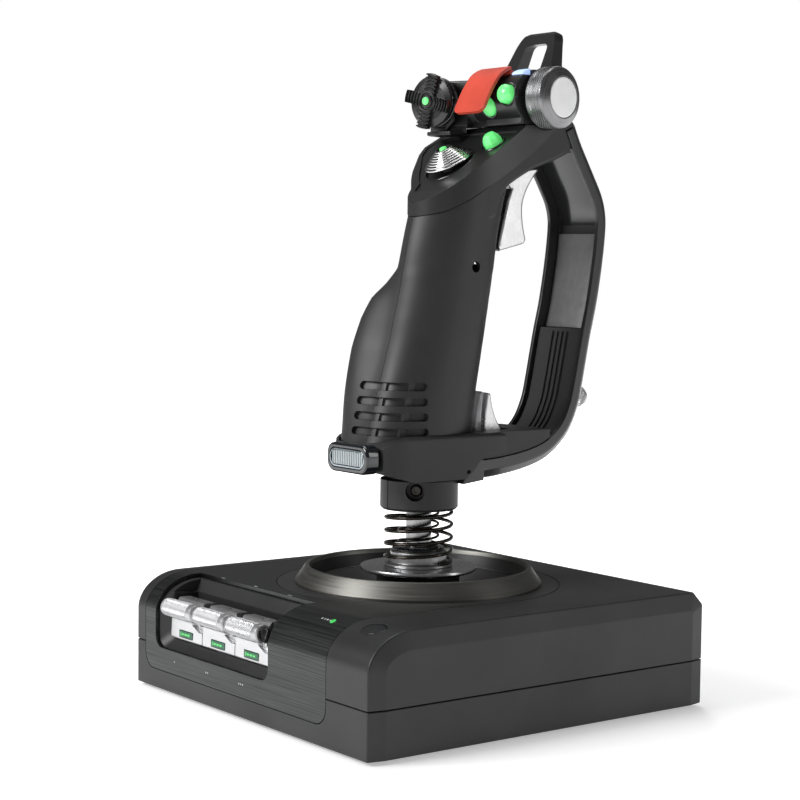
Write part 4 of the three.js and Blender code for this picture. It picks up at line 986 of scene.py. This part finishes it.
# ---------- finger guard and hand rest ----------
# The guard's back runs down from the head, round the elbow and the bottom corner to the neck.
GUARD_BACK = [(86.6, 286), (91.5, 276), (99.5, 262.5), (106.4, 250.6), (109.4, 241), (109.8, 231),
              (107.8, 213), (104.4, 193), (100.4, 176), (95.8, 153), (92.4, 140), (85.6, 127.4),
              (74, 117.4), (60, 112), (40, 108.6), (21, 107.4)]


def guard_path(samples=600):
    """Points and lengths along a smooth curve through GUARD_BACK."""
    last = len(GUARD_BACK) - 1
    points = []
    for i in range(samples + 1):
        along = last * i / samples
        k = min(int(along), last - 1)
        picks = [GUARD_BACK[min(max(j, 0), last)] for j in range(k - 1, k + 3)]
        points.append(Vector([through([p[axis] for p in picks], along - k) for axis in (0, 1)]))
    lengths = [0.0]
    for a, b in zip(points, points[1:]):
        lengths.append(lengths[-1] + (b - a).length)
    return points, lengths


PATH_POINTS, PATH_LENGTHS = guard_path()


def guard_at(t):
    """The point and the direction of travel at a share t of the path's length."""
    wanted = t * PATH_LENGTHS[-1]
    last = len(PATH_LENGTHS) - 1
    k = next((i for i in range(1, last) if PATH_LENGTHS[i] >= wanted), last)
    a, b = PATH_POINTS[k - 1], PATH_POINTS[k]
    share = (wanted - PATH_LENGTHS[k - 1]) / (PATH_LENGTHS[k] - PATH_LENGTHS[k - 1])
    low, high = PATH_POINTS[max(0, k - 6)], PATH_POINTS[min(len(PATH_POINTS) - 1, k + 5)]
    return a.lerp(b, share), (high - low).normalized()


def guard_point(t, depth, x=0):
    point, along = guard_at(t)
    return Vector((x, point.x + along.y * depth, point.y - along.x * depth))


def guard_band(near, far, start=0, end=1, steps=60):
    """A (y, z) outline of the band between two depths in from the guard's back."""
    stops = [start + (end - start) * i / steps for i in range(steps + 1)]
    outline = [guard_point(t, near) for t in stops] + [guard_point(t, far) for t in reversed(stops)]
    return [(p.y, p.z) for p in outline]


def guard_sweep(section, start, end, steps=120):
    """A section of (x, depth) points swept along the guard."""
    stops = [start + (end - start) * i / steps for i in range(steps + 1)]
    return grid_form([[guard_point(t, depth, x) for x, depth in section] for t in stops])


def make_guard():
    half, depth = GUARD_HALF, GUARD_DEPTH
    rail, floor = 2.4, 3
    right = [(half - 4.6, 0.1), (half - 0.4, 4.6), (half, 6), (half, depth), (half - rail, depth),
             (half - rail, floor)]
    left = [(-x, d) for x, d in reversed(right)]
    section = rounded(right + left, [4, 2, 1, 0.6, 0.6, 0.8, 0.8, 0.6, 0.6, 1, 2, 4], 4)
    body = guard_sweep(section, 0.004, 0.985)
    neck_clear = round_disc(NECK_R + 0.2, 90, 112)
    slot = prism("x", guard_band(-3, 4, 0.54, 0.632, 8), -3.2, 3.2)
    heel = rounded([(13.9, 106.2), (27, 107.6), (27, 118), (24.9, 118.1), (22.1, 116.2), (19.1, 112.5),
                    (14.1, 108.3)], [0.6, 0, 0, 1, 1, 2, 0.8])
    body = cut(body, slot, block(-60, 60, -60, 21.5, 90, 112))
    body = cut(join(body, prism("x", heel, -half, half, 0.6)), neck_clear)
    piece(body, "guard", "handle", "guard", ["guard_frame"], edge=0.25, crease=50)
    insert_section = rounded([(-16.6, 3.25), (16.6, 3.25), (16.6, 4.1), (-16.6, 4.1)], 0.2, 2)
    piece(guard_sweep(insert_section, 0.26, 0.47, 60), "guard_inlay", "handle", "insert",
          ["guard_insert"])
    strip = rounded([(-16.6, 3.1), (16.6, 3.1), (16.6, 3.6), (-16.6, 3.6)], 0.15, 2)
    piece(guard_sweep(strip, 0.06, 0.24, 50), "guard_upper_inlay", "handle", "gloss")


def make_rest_guide():
    plate = rounded([(-16.3, 4.7), (16.3, 4.7), (16.3, 8.2), (-16.3, 8.2)], [0.4, 0.4, 1, 1], 3)
    body = guard_sweep(plate, 0.475, 0.735, 60)
    ribs = []
    for x in (-5.4, -1.8, 1.8, 5.4):
        rib = rounded([(x - 1, 7.5), (x + 1, 7.5), (x + 1, 9.2), (x - 1, 9.2)], [0, 0, 0.6, 0.6], 3)
        ribs.append(guard_sweep(rib, 0.483, 0.728, 60))
    piece(join(body, *ribs), "rest_slider", "palm_rest", "rubber", ["rest_guide"], edge=0.2, crease=50)


def rest_plan():
    """The hand rest seen from above: rounded at the user's side, wider on the left under the palm."""
    plan = [(-18, -34.2), (18, -34.2)]
    plan += curve((18, -34.2), (21.6, -30), (21.8, -20)) + [(21.8, 26)]
    plan += curve((21.8, 26), (21, 42), (16.4, 48)) + [(16.4, 80), (-16.4, 80), (-16.4, 48)]
    plan += curve((-16.4, 48), (-22, 42), (-23, 26))
    return plan + [(-32, -16)] + curve((-32, -16), (-30.5, -32.6), (-18, -34.2))


def make_hand_rest():
    side = [(-34.2, 114), (-26, 111.4), (-18, 109), (13.6, 109), (18.6, 113), (21.6, 116.6),
            (24.6, 119.1), (40, 120.8), (50, 123.4), (66, 127.4), (76, 134), (77.5, 140), (70, 133),
            (60, REST_TOP), (-18, REST_TOP), (-31, 127.6), (-34.2, 126)]
    side = rounded(side, [1.5, 3, 3, 1.5, 3, 3, 3, 6, 6, 5, 3, 1, 3, 3, 12, 3, 1.5], 6)
    body = meet(prism("x", side, -40, 40), prism("z", rest_plan(), 100, REST_TOP, 2.2, 5))
    guard_room = prism("x", guard_band(-30, GUARD_DEPTH + 0.5, 0.6, 1, 60), -60, 60)
    over_rails = cut(block(-19.4, 19.4, 24.6, 70, 112, REST_TOP), guard_room)
    grip_hole = grip_form(112, 144, -0.5, 96)
    raised = moved(grip_form(112, 144, -0.6, 96), y=-1.2, z=-5.9)
    neck_hole = [(0, 100), (15.6, 100), (15.6, 116), (0, 116)]
    neck_holes = [moved(turned(neck_hole, 96), y=STICK_Y + y) for y in (0, -1.4)]
    lever_pocket = block(-8.4, 8.4, 20, 54, 122, 150)
    eye = prism("x", arc((15.2, 112.6), (1.3, 1), 0, 360, 32), 20.2, 30)
    body = cut(join(body, over_rails), grip_hole, raised, *neck_holes, lever_pocket, eye)
    piece(body, "palm_shelf", "palm_rest", "grip", ["hand_rest"], edge=0.8, crease=50)


def make_nose():
    """The lamp at the front of the hand rest: a glossy housing, a bright trim and a ribbed lens."""
    outer = rounded_rect(-16.8, 16.8, 113.2, 127.6, 5.6)
    bezel = prism("y", outer, -43, -35, 1.4, 4)
    window = prism("y", rounded_rect(-13.6, 13.6, 116.4, 124.4, 4), -46, -41)
    rim = rounded_rect(-14.4, 14.4, 115.6, 125.2, 4.6)
    ledge = prism("y", rim, -46, -42.4)
    piece(cut(bezel, window, ledge), "nose_housing", "palm_rest", "nose", ["nose_bezel"], edge=0.25,
          crease=45)
    trim = cut(prism("y", rounded_rect(-14.2, 14.2, 115.8, 125, 4.5), -42.9, -42.1, 0.2),
               prism("y", rounded_rect(-13.4, 13.4, 116.6, 124.2, 3.9), -44, -40))
    piece(trim, "nose_trim", "palm_rest", "trim")
    lens = prism("y", rounded_rect(-13.3, 13.3, 116.7, 124.1, 3.8), -41.6, -41.1)
    piece(lens, "nose_light", "palm_rest", "lens_back", ["nose_lens"])
    ribs = []
    for i in range(17):
        x = 1.46 * (i - 8)
        section = rounded([(-42.6, 116.9), (-41.4, 116.9), (-41.4, 123.9), (-42.6, 123.9)], 0.4, 3)
        rib = prism("x", section, x - 0.42, x + 0.42)
        ribs.append(meet(rib, prism("y", rounded_rect(-13.2, 13.2, 116.8, 124, 3.7), -44, -41)))
    piece(join(*ribs), "nose_ribs", "palm_rest", "lens", edge=0.1, crease=50)


def make_height_lock():
    t = 0.612
    point, along = guard_at(t)
    place, out = Vector((0, point.x, point.y)), Vector((0, -along.y, along.x))
    profile = [(0, -4.3), (2.7, -4.3), (2.7, 0.8), (5.8, 0.8), (6.1, 3), (6.1, 9), (5.5, 12.3),
               (4.1, 14.7), (1.9, 15.8), (0, 16)]
    knob = soft_turned(profile, 0.5, 72)
    flutes = []
    for i in range(10):
        angle = math.tau * i / 10
        flutes.append(moved(turned([(0, 2), (0.9, 2), (0.9, 20), (0, 20)], 24), 6.6 * math.cos(angle),
                            6.6 * math.sin(angle)))
    piece(aimed(cut(knob, *flutes), place, out), "lock_knob", "height_lock", "smoke",
          ["height_lock_knob"], edge=0.2, crease=45)


# ---------- trigger and pinkie lever ----------
def make_trigger():
    side = [(71.4, 262.4)] + curve((71.4, 262.4), (61.4, 252), (60.4, 243), 12)
    side += curve((60.4, 243), (60.2, 236), (62.9, 227), 12)
    side += curve((62.9, 227), (63, 224.6), (60, 224), 5)
    side += [(46, 220.6), (44.4, 224), (50, 246), (52.6, 252), (47.6, 256.6), (46.4, 260), (48, 263),
             (52, 263.7), (60, 262), (69, 263)]
    blade = prism("x", side, -6.8, 6.8, 1.6, 5)
    piece(blade, "trigger_blade", "trigger", "trigger", ["trigger"], edge=0.2, crease=45)
    piece(rod(1.5, (-6.9, 50.6, 260.2), (6.9, 50.6, 260.2), 32, 0.3), "pivot_pin", "handle", "trigger",
          ["trigger_pin"])
    lever = [(39.2, 149.8), (41.4, 149.2)] + curve((41.4, 149.2), (43, 138), (48.6, 131.6), 10)
    lever += [(47.6, 129.4), (37.4, 128.8), (37.8, 140)]
    piece(prism("x", lever, -6.6, 6.6, 1, 4), "pinkie_blade", "pinkie", "trigger", ["pinkie_lever"],
          edge=0.2, crease=45)
    housing = [(30.6, 128.6), (34.6, 128.6), (34.8, 140), (35.8, 149.8), (35, 150.8), (33.6, 149.6),
               (31.4, 140)]
    piece(prism("x", rounded(housing, 0.6), -7.4, 7.4, 0.5), "pinkie_shield", "palm_rest", "smoke",
          ["pinkie_housing"])


# ---------- head ----------
def panel_z(y):
    return 248 + (y - 2.5) * math.tan(PANEL_SLOPE)


def on_panel(x, y):
    return Vector((x, y, panel_z(y) - 1.9))


CONE_PLACE = on_panel(-8.4, 25)
FIRE_PLACE = on_panel(9.4, 38.8)


def head_outline(inset):
    """The head seen from above: flush with the grip, with a wing for the thumb hat on the left."""
    i = inset
    points = [(0, -4 + i)] + curve((0, -4 + i), (11, -3.6 + i), (16.6 - i, 8 + i), 14)
    points += curve((16.6 - i, 8 + i), (19.2 - i, 15), (20 - i, 30), 10)
    points += [(20.6 - i, 44), (20.6 - i, 76 - i), (-19.6 + i, 76 - i), (-20.4 + i, 55 - i),
               (-42 + i, 47 - i), (-46 + i, 38), (-43 + i, 32), (-32 + i, 19.6 + i)]
    points += curve((-32 + i, 19.6 + i), (-22 + i, 10 + i), (-16 + i, 7 + i), 10)
    points += curve((-16 + i, 7 + i), (-10, -3.6 + i), (0, -4 + i), 14)
    return points


def knob_room():
    """The space that the dial turns in, cut out of the head round it."""
    out = Vector((math.cos(KNOB["turn"]), math.sin(KNOB["turn"]), 0))
    place = Vector((KNOB["x"], KNOB["y"], KNOB["z"]))
    return rod(KNOB["r"] + 0.4, place - out * 0.4, place + out * 16, 120)


def panel_hole(place, radius):
    return rod(radius, place - PANEL_OUT * 9, place + PANEL_OUT * 9, 96)


def make_head_cover():
    rim = [(-4.5, panel_z(-4.5) + 0.4), (48, panel_z(48)), (50, 283), (70, 283)]
    lower = [(y, z + 0.2) for y, z in reversed(SEAM_LINE[1:-1])]
    body = meet(prism("x", rim + lower, -60, 60), prism("z", head_outline(0), 200, 320))
    under_wing = prism("y", [(-60, 200), (-19.5, 236), (-26, 252), (-34, 262), (-60, 276)], -20, 80)
    slope = [(4, panel_z(4) - 2.2), (46.6, panel_z(46.6) - 2.2), (46.6, 300), (-20, 300),
             (4, panel_z(4) + 2)]
    recess = meet(prism("x", rounded(slope, [2.5, 0.5, 0, 0, 3]), -60, 60),
                  prism("z", head_outline(2.8), 200, 320))
    body = cut(body, under_wing, recess, panel_hole(CONE_PLACE, 5.6), panel_hole(FIRE_PLACE, 5.2),
               knob_room())
    piece(body, "head_shell", "handle", "head", ["head_cover"], edge=0.8, crease=30)


def make_panel():
    y0, y1 = 4.8, 46.2
    slab = [(y0, panel_z(y0) - 1.9), (y1, panel_z(y1) - 1.9), (y1, panel_z(y1) - 0.7),
            (y0, panel_z(y0) - 0.7)]
    body = meet(prism("x", slab, -60, 60), prism("z", head_outline(2.9), 200, 320))
    body = cut(body, panel_hole(CONE_PLACE, 13.1), panel_hole(FIRE_PLACE, 5.4))
    piece(body, "panel", "handle", "panel", ["button_panel"], edge=0.3, crease=42)
    collar = [(5.3, 0.9), (6.6, 0.9), (6.6, 1.3), (6.2, 1.6), (5.3, 1.6)]
    piece(aimed(soft_turned(collar, 0.15, 72), FIRE_PLACE, PANEL_OUT), "fire_bezel", "handle", "gloss")
    well = [(13.1, 0.6), (14.3, 0.6), (14.3, 0.9), (14, 1.15), (13.4, 1)]
    piece(aimed(soft_turned(well, 0.1, 120), CONE_PLACE, PANEL_OUT), "cone_bezel", "handle", "gloss")


def on_barrel(x, angle, stand=0):
    """A place on the barrel's skin and the way it faces, at an angle in degrees from +Y."""
    a = math.radians(angle)
    out = Vector((0, math.cos(a), math.sin(a)))
    return Vector((x, BARREL["y"], BARREL["z"])) + out * (BARREL["r"] + stand), out


LAUNCH_PLACE, LAUNCH_OUT = on_barrel(-1, 200)
THUMB_PLACE, THUMB_OUT = on_barrel(14, 176)


def make_head_block():
    left, right, y, z, r = (BARREL[k] for k in ("left", "right", "y", "z", "r"))
    barrel = aimed(soft_turned([(0, 0), (r, 0), (r, right - left), (0, right - left)], 0.5, 144),
                   (left, y, z), (1, 0, 0))
    plinth = prism("x", rounded([(48, 283.3), (69, 284.6), (69, 297), (54, 297), (48, 289.4)],
                                [0.6, 0, 0, 0, 1]), left, right, 0.4)
    wing = [(-41, 36), (left + 0.5, 44.4), (left + 0.5, 62), (-34, 56), (-41, 46)]
    module = prism("z", rounded(wing, [3, 0, 0, 4, 4]), 283.3, 307, 1)
    shelf = prism("z", rounded([(-35.5, 31), (-21, 34.5), (-19.6, 44.6), (-41, 44.6), (-41, 38)],
                               [2, 1, 0, 0, 2]), 279, 281, 0.4)
    riser = prism("z", [(-40.6, 37.4), (-19.8, 44.4), (-40.6, 44.4)], 280.8, 283.8)
    holes = [rod(5.2, place - out * 5, place + out * 9, 72)
             for place, out in ((LAUNCH_PLACE, LAUNCH_OUT), (THUMB_PLACE, THUMB_OUT))]
    seat = rod(9.4, HAT_PLACE - HAT_OUT * 14.6, HAT_PLACE + HAT_OUT * 10, 96)
    lens_seat = block(10.3, 20, 46.7, 54.3, 307.6, 315)
    hinge_seat = block(-14.4, 10.1, 46.6, 54, 306.6, 315)
    body = cut(join(barrel, plinth, module, shelf, riser), *holes, seat, lens_seat, hinge_seat,
               knob_room())
    piece(body, "barrel", "handle", "head", ["head_block"], edge=0.3, crease=42)
    for name, place, out in (("launch", LAUNCH_PLACE, LAUNCH_OUT), ("thumb", THUMB_PLACE, THUMB_OUT)):
        cup = [(4.9, -3), (6, -3), (6, -0.3), (5.7, 0), (5.2, -0.1), (4.9, -0.5)]
        piece(aimed(soft_turned(cup, 0.15, 72), place, out), f"{name}_bezel", "handle", "gloss")
    strip = prism("y", rounded_rect(-7.5, 18.8, 283.8, 289, 0.8), 47.5, 48.6, 0.3)
    piece(strip, "label_strip", "handle", "label")
    wing_strip = aimed(block(-13, 7, -2.6, 2.6, 0, 1.2, 0.3), (-27, 39.6, 286.2), (-0.36, -0.93, 0))
    piece(wing_strip, "wing_strip", "handle", "label")
    # A satin silver band on the barrel's left end: painted highlight for the bright reflection seen there.
    band = turned([(r - 0.2, 0), (r + 0.12, 0.1), (r + 0.12, 4.5), (r - 0.2, 4.6)], 144)
    piece(aimed(band, (left + 0.2, y, z), (1, 0, 0)), "barrel_highlight_band", "handle", "silver")


def dome(radius, height, sink, flat=0.35):
    """A button with a softly domed top, from a sunk skirt up to its crown."""
    angles = [math.pi / 2 * i / 12 for i in range(12)]
    crown = [(radius * math.cos(a), height * (flat + (1 - flat) * math.sin(a))) for a in angles]
    crown.append((0, height))
    return turned([(0, -sink), (radius, -sink), *crown], 72)


def make_buttons():
    fire = turned([(0, -3.6), (3.6, -3.6), (3.6, -0.1), (4.8, -0.1), (4.9, 3), (4.3, 5), (3, 6.8),
                   (2.6, 7.1), (0, 7.5)], 8)
    crown = fire.modifiers.new("soft", "BEVEL")
    crown.width, crown.segments, crown.limit_method, crown.angle_limit = 0.9, 4, "ANGLE", math.radians(12)
    fire = combine(fire, [], "UNION")
    piece(aimed(fire, FIRE_PLACE, PANEL_OUT), "fire_cap", "fire", "green", ["fire_button"])
    launch = dome(4.7, 1.2, 4)
    piece(aimed(launch, LAUNCH_PLACE, LAUNCH_OUT), "launch_cap", "launch", "green", ["launch_button"])
    thumb = dome(4.7, 4.8, 2.6)
    piece(aimed(thumb, THUMB_PLACE, THUMB_OUT), "thumb_cap", "thumb", "green", ["thumb_button"])
    lens = meet(rod(BARREL["r"] + 0.7, (10.6, BARREL["y"], BARREL["z"]), (19.2, BARREL["y"], BARREL["z"]),
                    160), prism("z", rounded_rect(10.6, 19.2, 47, 54, 2.2), 307.8, 312))
    piece(lens, "indicator", "handle", "blue", ["indicator_lens"], edge=0.4, crease=35)


def make_thumb_hat():
    """A dished hat with four ridged arms round a ringed centre, on a sleeve and a bright tube."""
    tube = [(9.4, -20), (10.6, -20), (10.6, -14.3), (10.3, -14), (9.4, -14)]
    piece(aimed(turned(tube, 96), HAT_PLACE, HAT_OUT), "hat_tube", "handle", "shaft")
    sleeve = [(7.2, -14.2), (9, -14.2), (9, -8.4), (12.2, -8.4), (12.6, -7.8), (12.6, -5.9), (12, -5.6),
              (7.2, -5.6)]
    piece(aimed(soft_turned(sleeve, 0.3, 96), HAT_PLACE, HAT_OUT), "sleeve", "handle", "gloss",
          ["hat_sleeve"])
    carrier = aimed(soft_turned([(0, -13.8), (6, -13.8), (6, -4.8), (0, -4.8)], 0.3, 48), HAT_PLACE,
                    HAT_OUT)
    piece(carrier, "hat_post", "thumb_hat_side", "dark", ["thumb_hat_carrier"])
    dish = [(0, -3.8), (11.4, -3.8), (13, -3.4), (13.2, -2.6), (12.6, -1.7), (9.6, -0.7), (6, -0.5),
            (0, -0.5)]
    body = soft_turned(dish, 0.3, 96)
    for quarter in range(4):
        arm = block(3, 13.6, -3.2, 3.2, -1.6, 1.1, 0.3)
        for k, r in enumerate((6.6, 8.4, 10.2, 12, 13.6)):
            shoulder, top = 1.5 + 0.14 * k, 2 + 0.14 * k
            ridge = [(r - 0.55, 0.6), (r + 0.55, 0.6), (r + 0.4, shoulder), (r, top), (r - 0.4, shoulder)]
            arm = join(arm, meet(turned(ridge, 96), block(0, 20, -3.2, 3.2, -2, 6)))
        body = join(body, transformed(arm, Matrix.Rotation(math.radians(90 * quarter), 4, "Z")))
    centre = [(0, -1), (5.4, -1), (5.4, 1.6), (4.8, 2.2), (4.2, 1.7), (3.9, 1.1), (3.5, 1.1), (3.2, 2),
              (2.6, 2.4), (0, 2.4)]
    body = join(body, soft_turned(centre, 0.2, 72))
    piece(aimed(body, HAT_PLACE, HAT_OUT), "hat", "thumb_hat", "hat", ["thumb_hat"], edge=0.15, crease=40)
    lens = soft_turned([(0, 2.4), (2, 2.4), (2, 2.9), (1.3, 3.4), (0, 3.5)], 0.2, 40)
    piece(aimed(lens, HAT_PLACE, HAT_OUT), "hat_light", "thumb_hat", "green", ["thumb_hat_lens"])


def make_view_hat():
    """A polished cone of stepped rings with a lit lens at its tip."""
    rings, low, high = 8, (12.4, 2.9), (4.6, 9.2)
    profile = [(0, 2.6), (low[0], 2.6)]
    for i in range(rings):
        r = low[0] + (high[0] - low[0]) * i / (rings - 1)
        h = low[1] + (high[1] - low[1]) * (i / (rings - 1)) ** 0.9
        profile += [(r, h), (r - 0.1, h + 0.5), (r - 0.85, h + 0.62)]
    profile.append((0, high[1] + 0.4))
    piece(aimed(soft_turned(profile, 0.28, 144), CONE_PLACE, CONE_OUT), "cone", "view_hat", "cone",
          ["view_hat"], crease=50)
    post = aimed(soft_turned([(0, -5), (4.6, -5), (4.6, 1.9), (0, 1.9)], 0.3, 48), CONE_PLACE, CONE_OUT)
    piece(post, "cone_post", "view_hat_side", "dark", ["view_hat_carrier"])
    lens = soft_turned([(0, 9.6), (2.1, 9.6), (1.6, 10.5), (0, 10.8)], 0.3, 40)
    piece(aimed(lens, CONE_PLACE, CONE_OUT), "cone_light", "view_hat", "green", ["view_hat_lens"])


def make_safety_cover():
    """A curved red flap, hinged on top of the barrel and standing off over the launch button."""
    outer = [Vector(p) for p in ((49.6, 310.6), (46.4, 309.3), (42.9, 306.9), (39.8, 302.8),
                                 (37.1, 298.5), (34.5, 293.4), (32.2, 288.5))]
    last, rows, steps = len(outer) - 1, [], 60
    for i in range(steps + 1):
        along = last * i / steps
        k = min(int(along), last - 1)
        picks = [outer[min(max(j, 0), last)] for j in range(k - 1, k + 3)]
        here, ahead = (Vector([through([p[a] for p in picks], along - k + d) for a in (0, 1)])
                       for d in (0, 0.01))
        inward = Vector((here.y - ahead.y, ahead.x - here.x)).normalized() * -1
        tip = max(0, (along - last + 0.8) / 0.8)
        left, right = -14 + 3.2 * tip ** 3, 9 - 4.4 * tip ** 2.6
        section = rounded([(left, 0), (right, 0), (right, 2), (left, 2)], [0.7, 0.7, 0.4, 0.4], 4)
        rows.append([(x, here.x + inward.x * d, here.y + inward.y * d) for x, d in section])
    flap = grid_form(rows)
    hinge = rod(1.4, (-13.8, 50, 309.3), (8.8, 50, 309.3), 32, 0.2)
    piece(join(flap, hinge), "flap", "cover", "red", ["safety_cover"], edge=0.15, crease=45)


def make_dial():
    turn = Vector((math.cos(KNOB["turn"]), math.sin(KNOB["turn"]), 0))
    place = Vector((KNOB["x"], KNOB["y"], KNOB["z"]))
    r, depth = KNOB["r"], KNOB["depth"]
    grip = moved(knurled(r, depth - 1.2, 64, 0.8, 0.5, 512, 46, 0.5), z=0.6)
    face = [(0, 0), (r - 1.2, 0), (r - 0.3, 0.7), (r - 0.35, depth - 0.7), (r - 0.9, depth),
            (10.6, depth + 2.2), (10.3, depth + 2.2), (10.1, depth + 0.9), (0, depth + 0.9)]
    body = join(grip, turned(rounded(face, [0, 0.2, 0.2, 0.2, 0.2, 0.15, 0.1, 0.1, 0], 3), 180))
    piece(aimed(body, place, turn), "dial", "mode_dial", "dial", ["mode_knob"], crease=16)
    disc = soft_turned([(0, depth + 1), (10, depth + 1), (10, depth + 2), (9.6, depth + 2.3),
                        (0, depth + 2.3)], 0.15, 120)
    piece(aimed(disc, place, turn), "dial_face", "mode_dial", "dial_face", ["knob_disc"])


def make_top_loop():
    side = [(71.8, 291), (71.6, 303), (66.8, 311), (74.6, 330.4), (77, 331.8), (79.8, 330), (75, 313.4),
            (77.2, 303), (82.6, 291)]
    side = rounded(side, [0, 6, 2, 1.2, 1, 1.2, 4, 4, 0], 5)
    front = [(-19.4, 280), (19.4, 280), (18.4, 311), (14.6, 324)]
    front += curve((14.6, 324), (13.4, 332), (7, 332)) + [(-6, 332)]
    front += curve((-6, 332), (-11.6, 332), (-14.6, 324)) + [(-18.4, 311)]
    window = [(-9.6, 305), (9.6, 305), (9.8, 322.4)] + curve((9.8, 322.4), (9.6, 325.4), (6.6, 325.4))
    window += [(-3.6, 325.4)] + curve((-3.6, 325.4), (-6.8, 325.4), (-7.3, 322.4))
    body = meet(prism("x", side, -25, 25), prism("y", front, 50, 100))
    body = cut(body, prism("y", window, 50, 100), knob_room())
    piece(body, "loop", "handle", "head", ["top_loop"], edge=0.7, crease=50)


# ---------- CAD nodes shown as they are ----------
SHOWN = {"gimbal_bracket": "machined", "gimbal_ring": "machined", "pivot_block": "machined",
         "toggle_rod": "machined", "circuit_board": "board"}


def finish_cad_nodes():
    for name, obj in frame["nodes"].items():
        obj.data.materials.clear()
        obj.data.materials.append(LOOK[SHOWN.get(name, "casing")][1])


# ---------- camera, floor and light ----------
CAMERA_PLACE = (752.18, -583.08, 216.09)
CAMERA_ALONG = (-0.79387, 0.60374, -0.07255)
CAMERA_UP = (-0.06526, 0.03403, 0.99729)
CAMERA_LENS = 87.26              # focal length for a sensor 36 mm wide
FLOOR_HALF = 4.0
FLOOR_GLOW = ((0.3, 0.4), (0.9, 1.0))     # the floor's own light near the object and further off
ROOM_LIGHT = 0.12                # brightness of the room as the object sees it
LIGHT_TARGET = (0, 0, 0.17)
# name: place, size and power in watts, and whether the object mirrors it
LIGHTS = {
    "key": ((-0.35, -1.35, 0.95), (0.8, 0.6), 21, True),
    "top": ((-0.3, 0.1, 1.5), (0.9, 0.9), 10, True),
    "back": ((-1.0, 0.8, 0.5), (0.3, 1.1), 7, False),
    "side": ((1.2, 0.9, 0.6), (0.25, 0.9), 2.2, True),
}


def add_camera():
    look, up = Vector(CAMERA_ALONG), Vector(CAMERA_UP)
    right = look.cross(up).normalized()
    camera = bpy.data.objects.new("camera", bpy.data.cameras.new("camera"))
    camera.data.sensor_width = 36
    camera.data.lens = CAMERA_LENS
    camera.data.clip_start = 0.01
    camera.matrix_world = Matrix((right, right.cross(look), -look)).transposed().to_4x4()
    camera.matrix_world.translation = TO_FRAME @ Vector(CAMERA_PLACE)
    bpy.context.scene.collection.objects.link(camera)
    bpy.context.scene.camera = camera


def add_area_light(name, place, size, power, mirrored):
    light = bpy.data.lights.new(name, "AREA")
    light.shape = "RECTANGLE"
    light.size, light.size_y = size
    light.energy = power
    obj = bpy.data.objects.new(name, light)
    obj.location = place
    obj.rotation_euler = (Vector(LIGHT_TARGET) - Vector(place)).to_track_quat("-Z", "Y").to_euler()
    obj.visible_glossy = mirrored
    bpy.context.scene.collection.objects.link(obj)


def add_world():
    """A dim room for light and reflections, and a white backdrop where the camera looks past it."""
    world = bpy.data.worlds.new("studio")
    world.use_nodes = True
    nodes, links = world.node_tree.nodes, world.node_tree.links
    rays = nodes.new("ShaderNodeLightPath")
    backdrop = nodes.new("ShaderNodeMapRange")
    for key, value in (("To Min", ROOM_LIGHT), ("To Max", 1.0)):
        backdrop.inputs[key].default_value = value
    links.new(rays.outputs["Is Camera Ray"], backdrop.inputs["Value"])
    links.new(backdrop.outputs["Result"], nodes["Background"].inputs["Strength"])
    nodes["Background"].inputs["Color"].default_value = (1, 1, 1, 1)
    bpy.context.scene.world = world


def add_floor():
    """A pale floor that turns as white as the backdrop away from the object."""
    mesh = bpy.data.meshes.new("floor")
    corners = [(FLOOR_HALF * x, FLOOR_HALF * y, 0) for x, y in ((-1, -1), (1, -1), (1, 1), (-1, 1))]
    mesh.from_pydata(corners, [], [(0, 1, 2, 3)])
    floor = bpy.data.objects.new("floor", mesh)
    bpy.context.scene.collection.objects.link(floor)
    shader = Shader("floor_white", (0.9, 0.9, 0.9), 0.7)
    shader.vary_roughness(shader.noise(shader.coordinates(), 3, 2), 0.65, 0.8)
    shader.set(Emission_Color=(1, 1, 1, 1))
    shader.glow_with_distance(FLOOR_GLOW)
    mesh.materials.append(shader.material)


def add_studio():
    bpy.context.scene.view_settings.view_transform = "Standard"
    add_world()
    add_camera()
    add_floor()
    for name, (place, size, power, mirrored) in LIGHTS.items():
        add_area_light(name, place, size, power, mirrored)


add_studio()

make_tray()
make_cover()
make_fascia()
make_tub()
make_ring_and_dish()
make_feet_and_gland()
make_base_details()
make_stick()
for toggle_number in (1, 2, 3):
    make_toggle(toggle_number)
make_grip()
make_neck()
make_guard()
make_rest_guide()
make_hand_rest()
make_nose()
make_height_lock()
make_trigger()
make_head_cover()
make_panel()
make_head_block()
make_buttons()
make_thumb_hat()
make_view_hat()
make_safety_cover()
make_dial()
make_top_loop()
finish_cad_nodes()
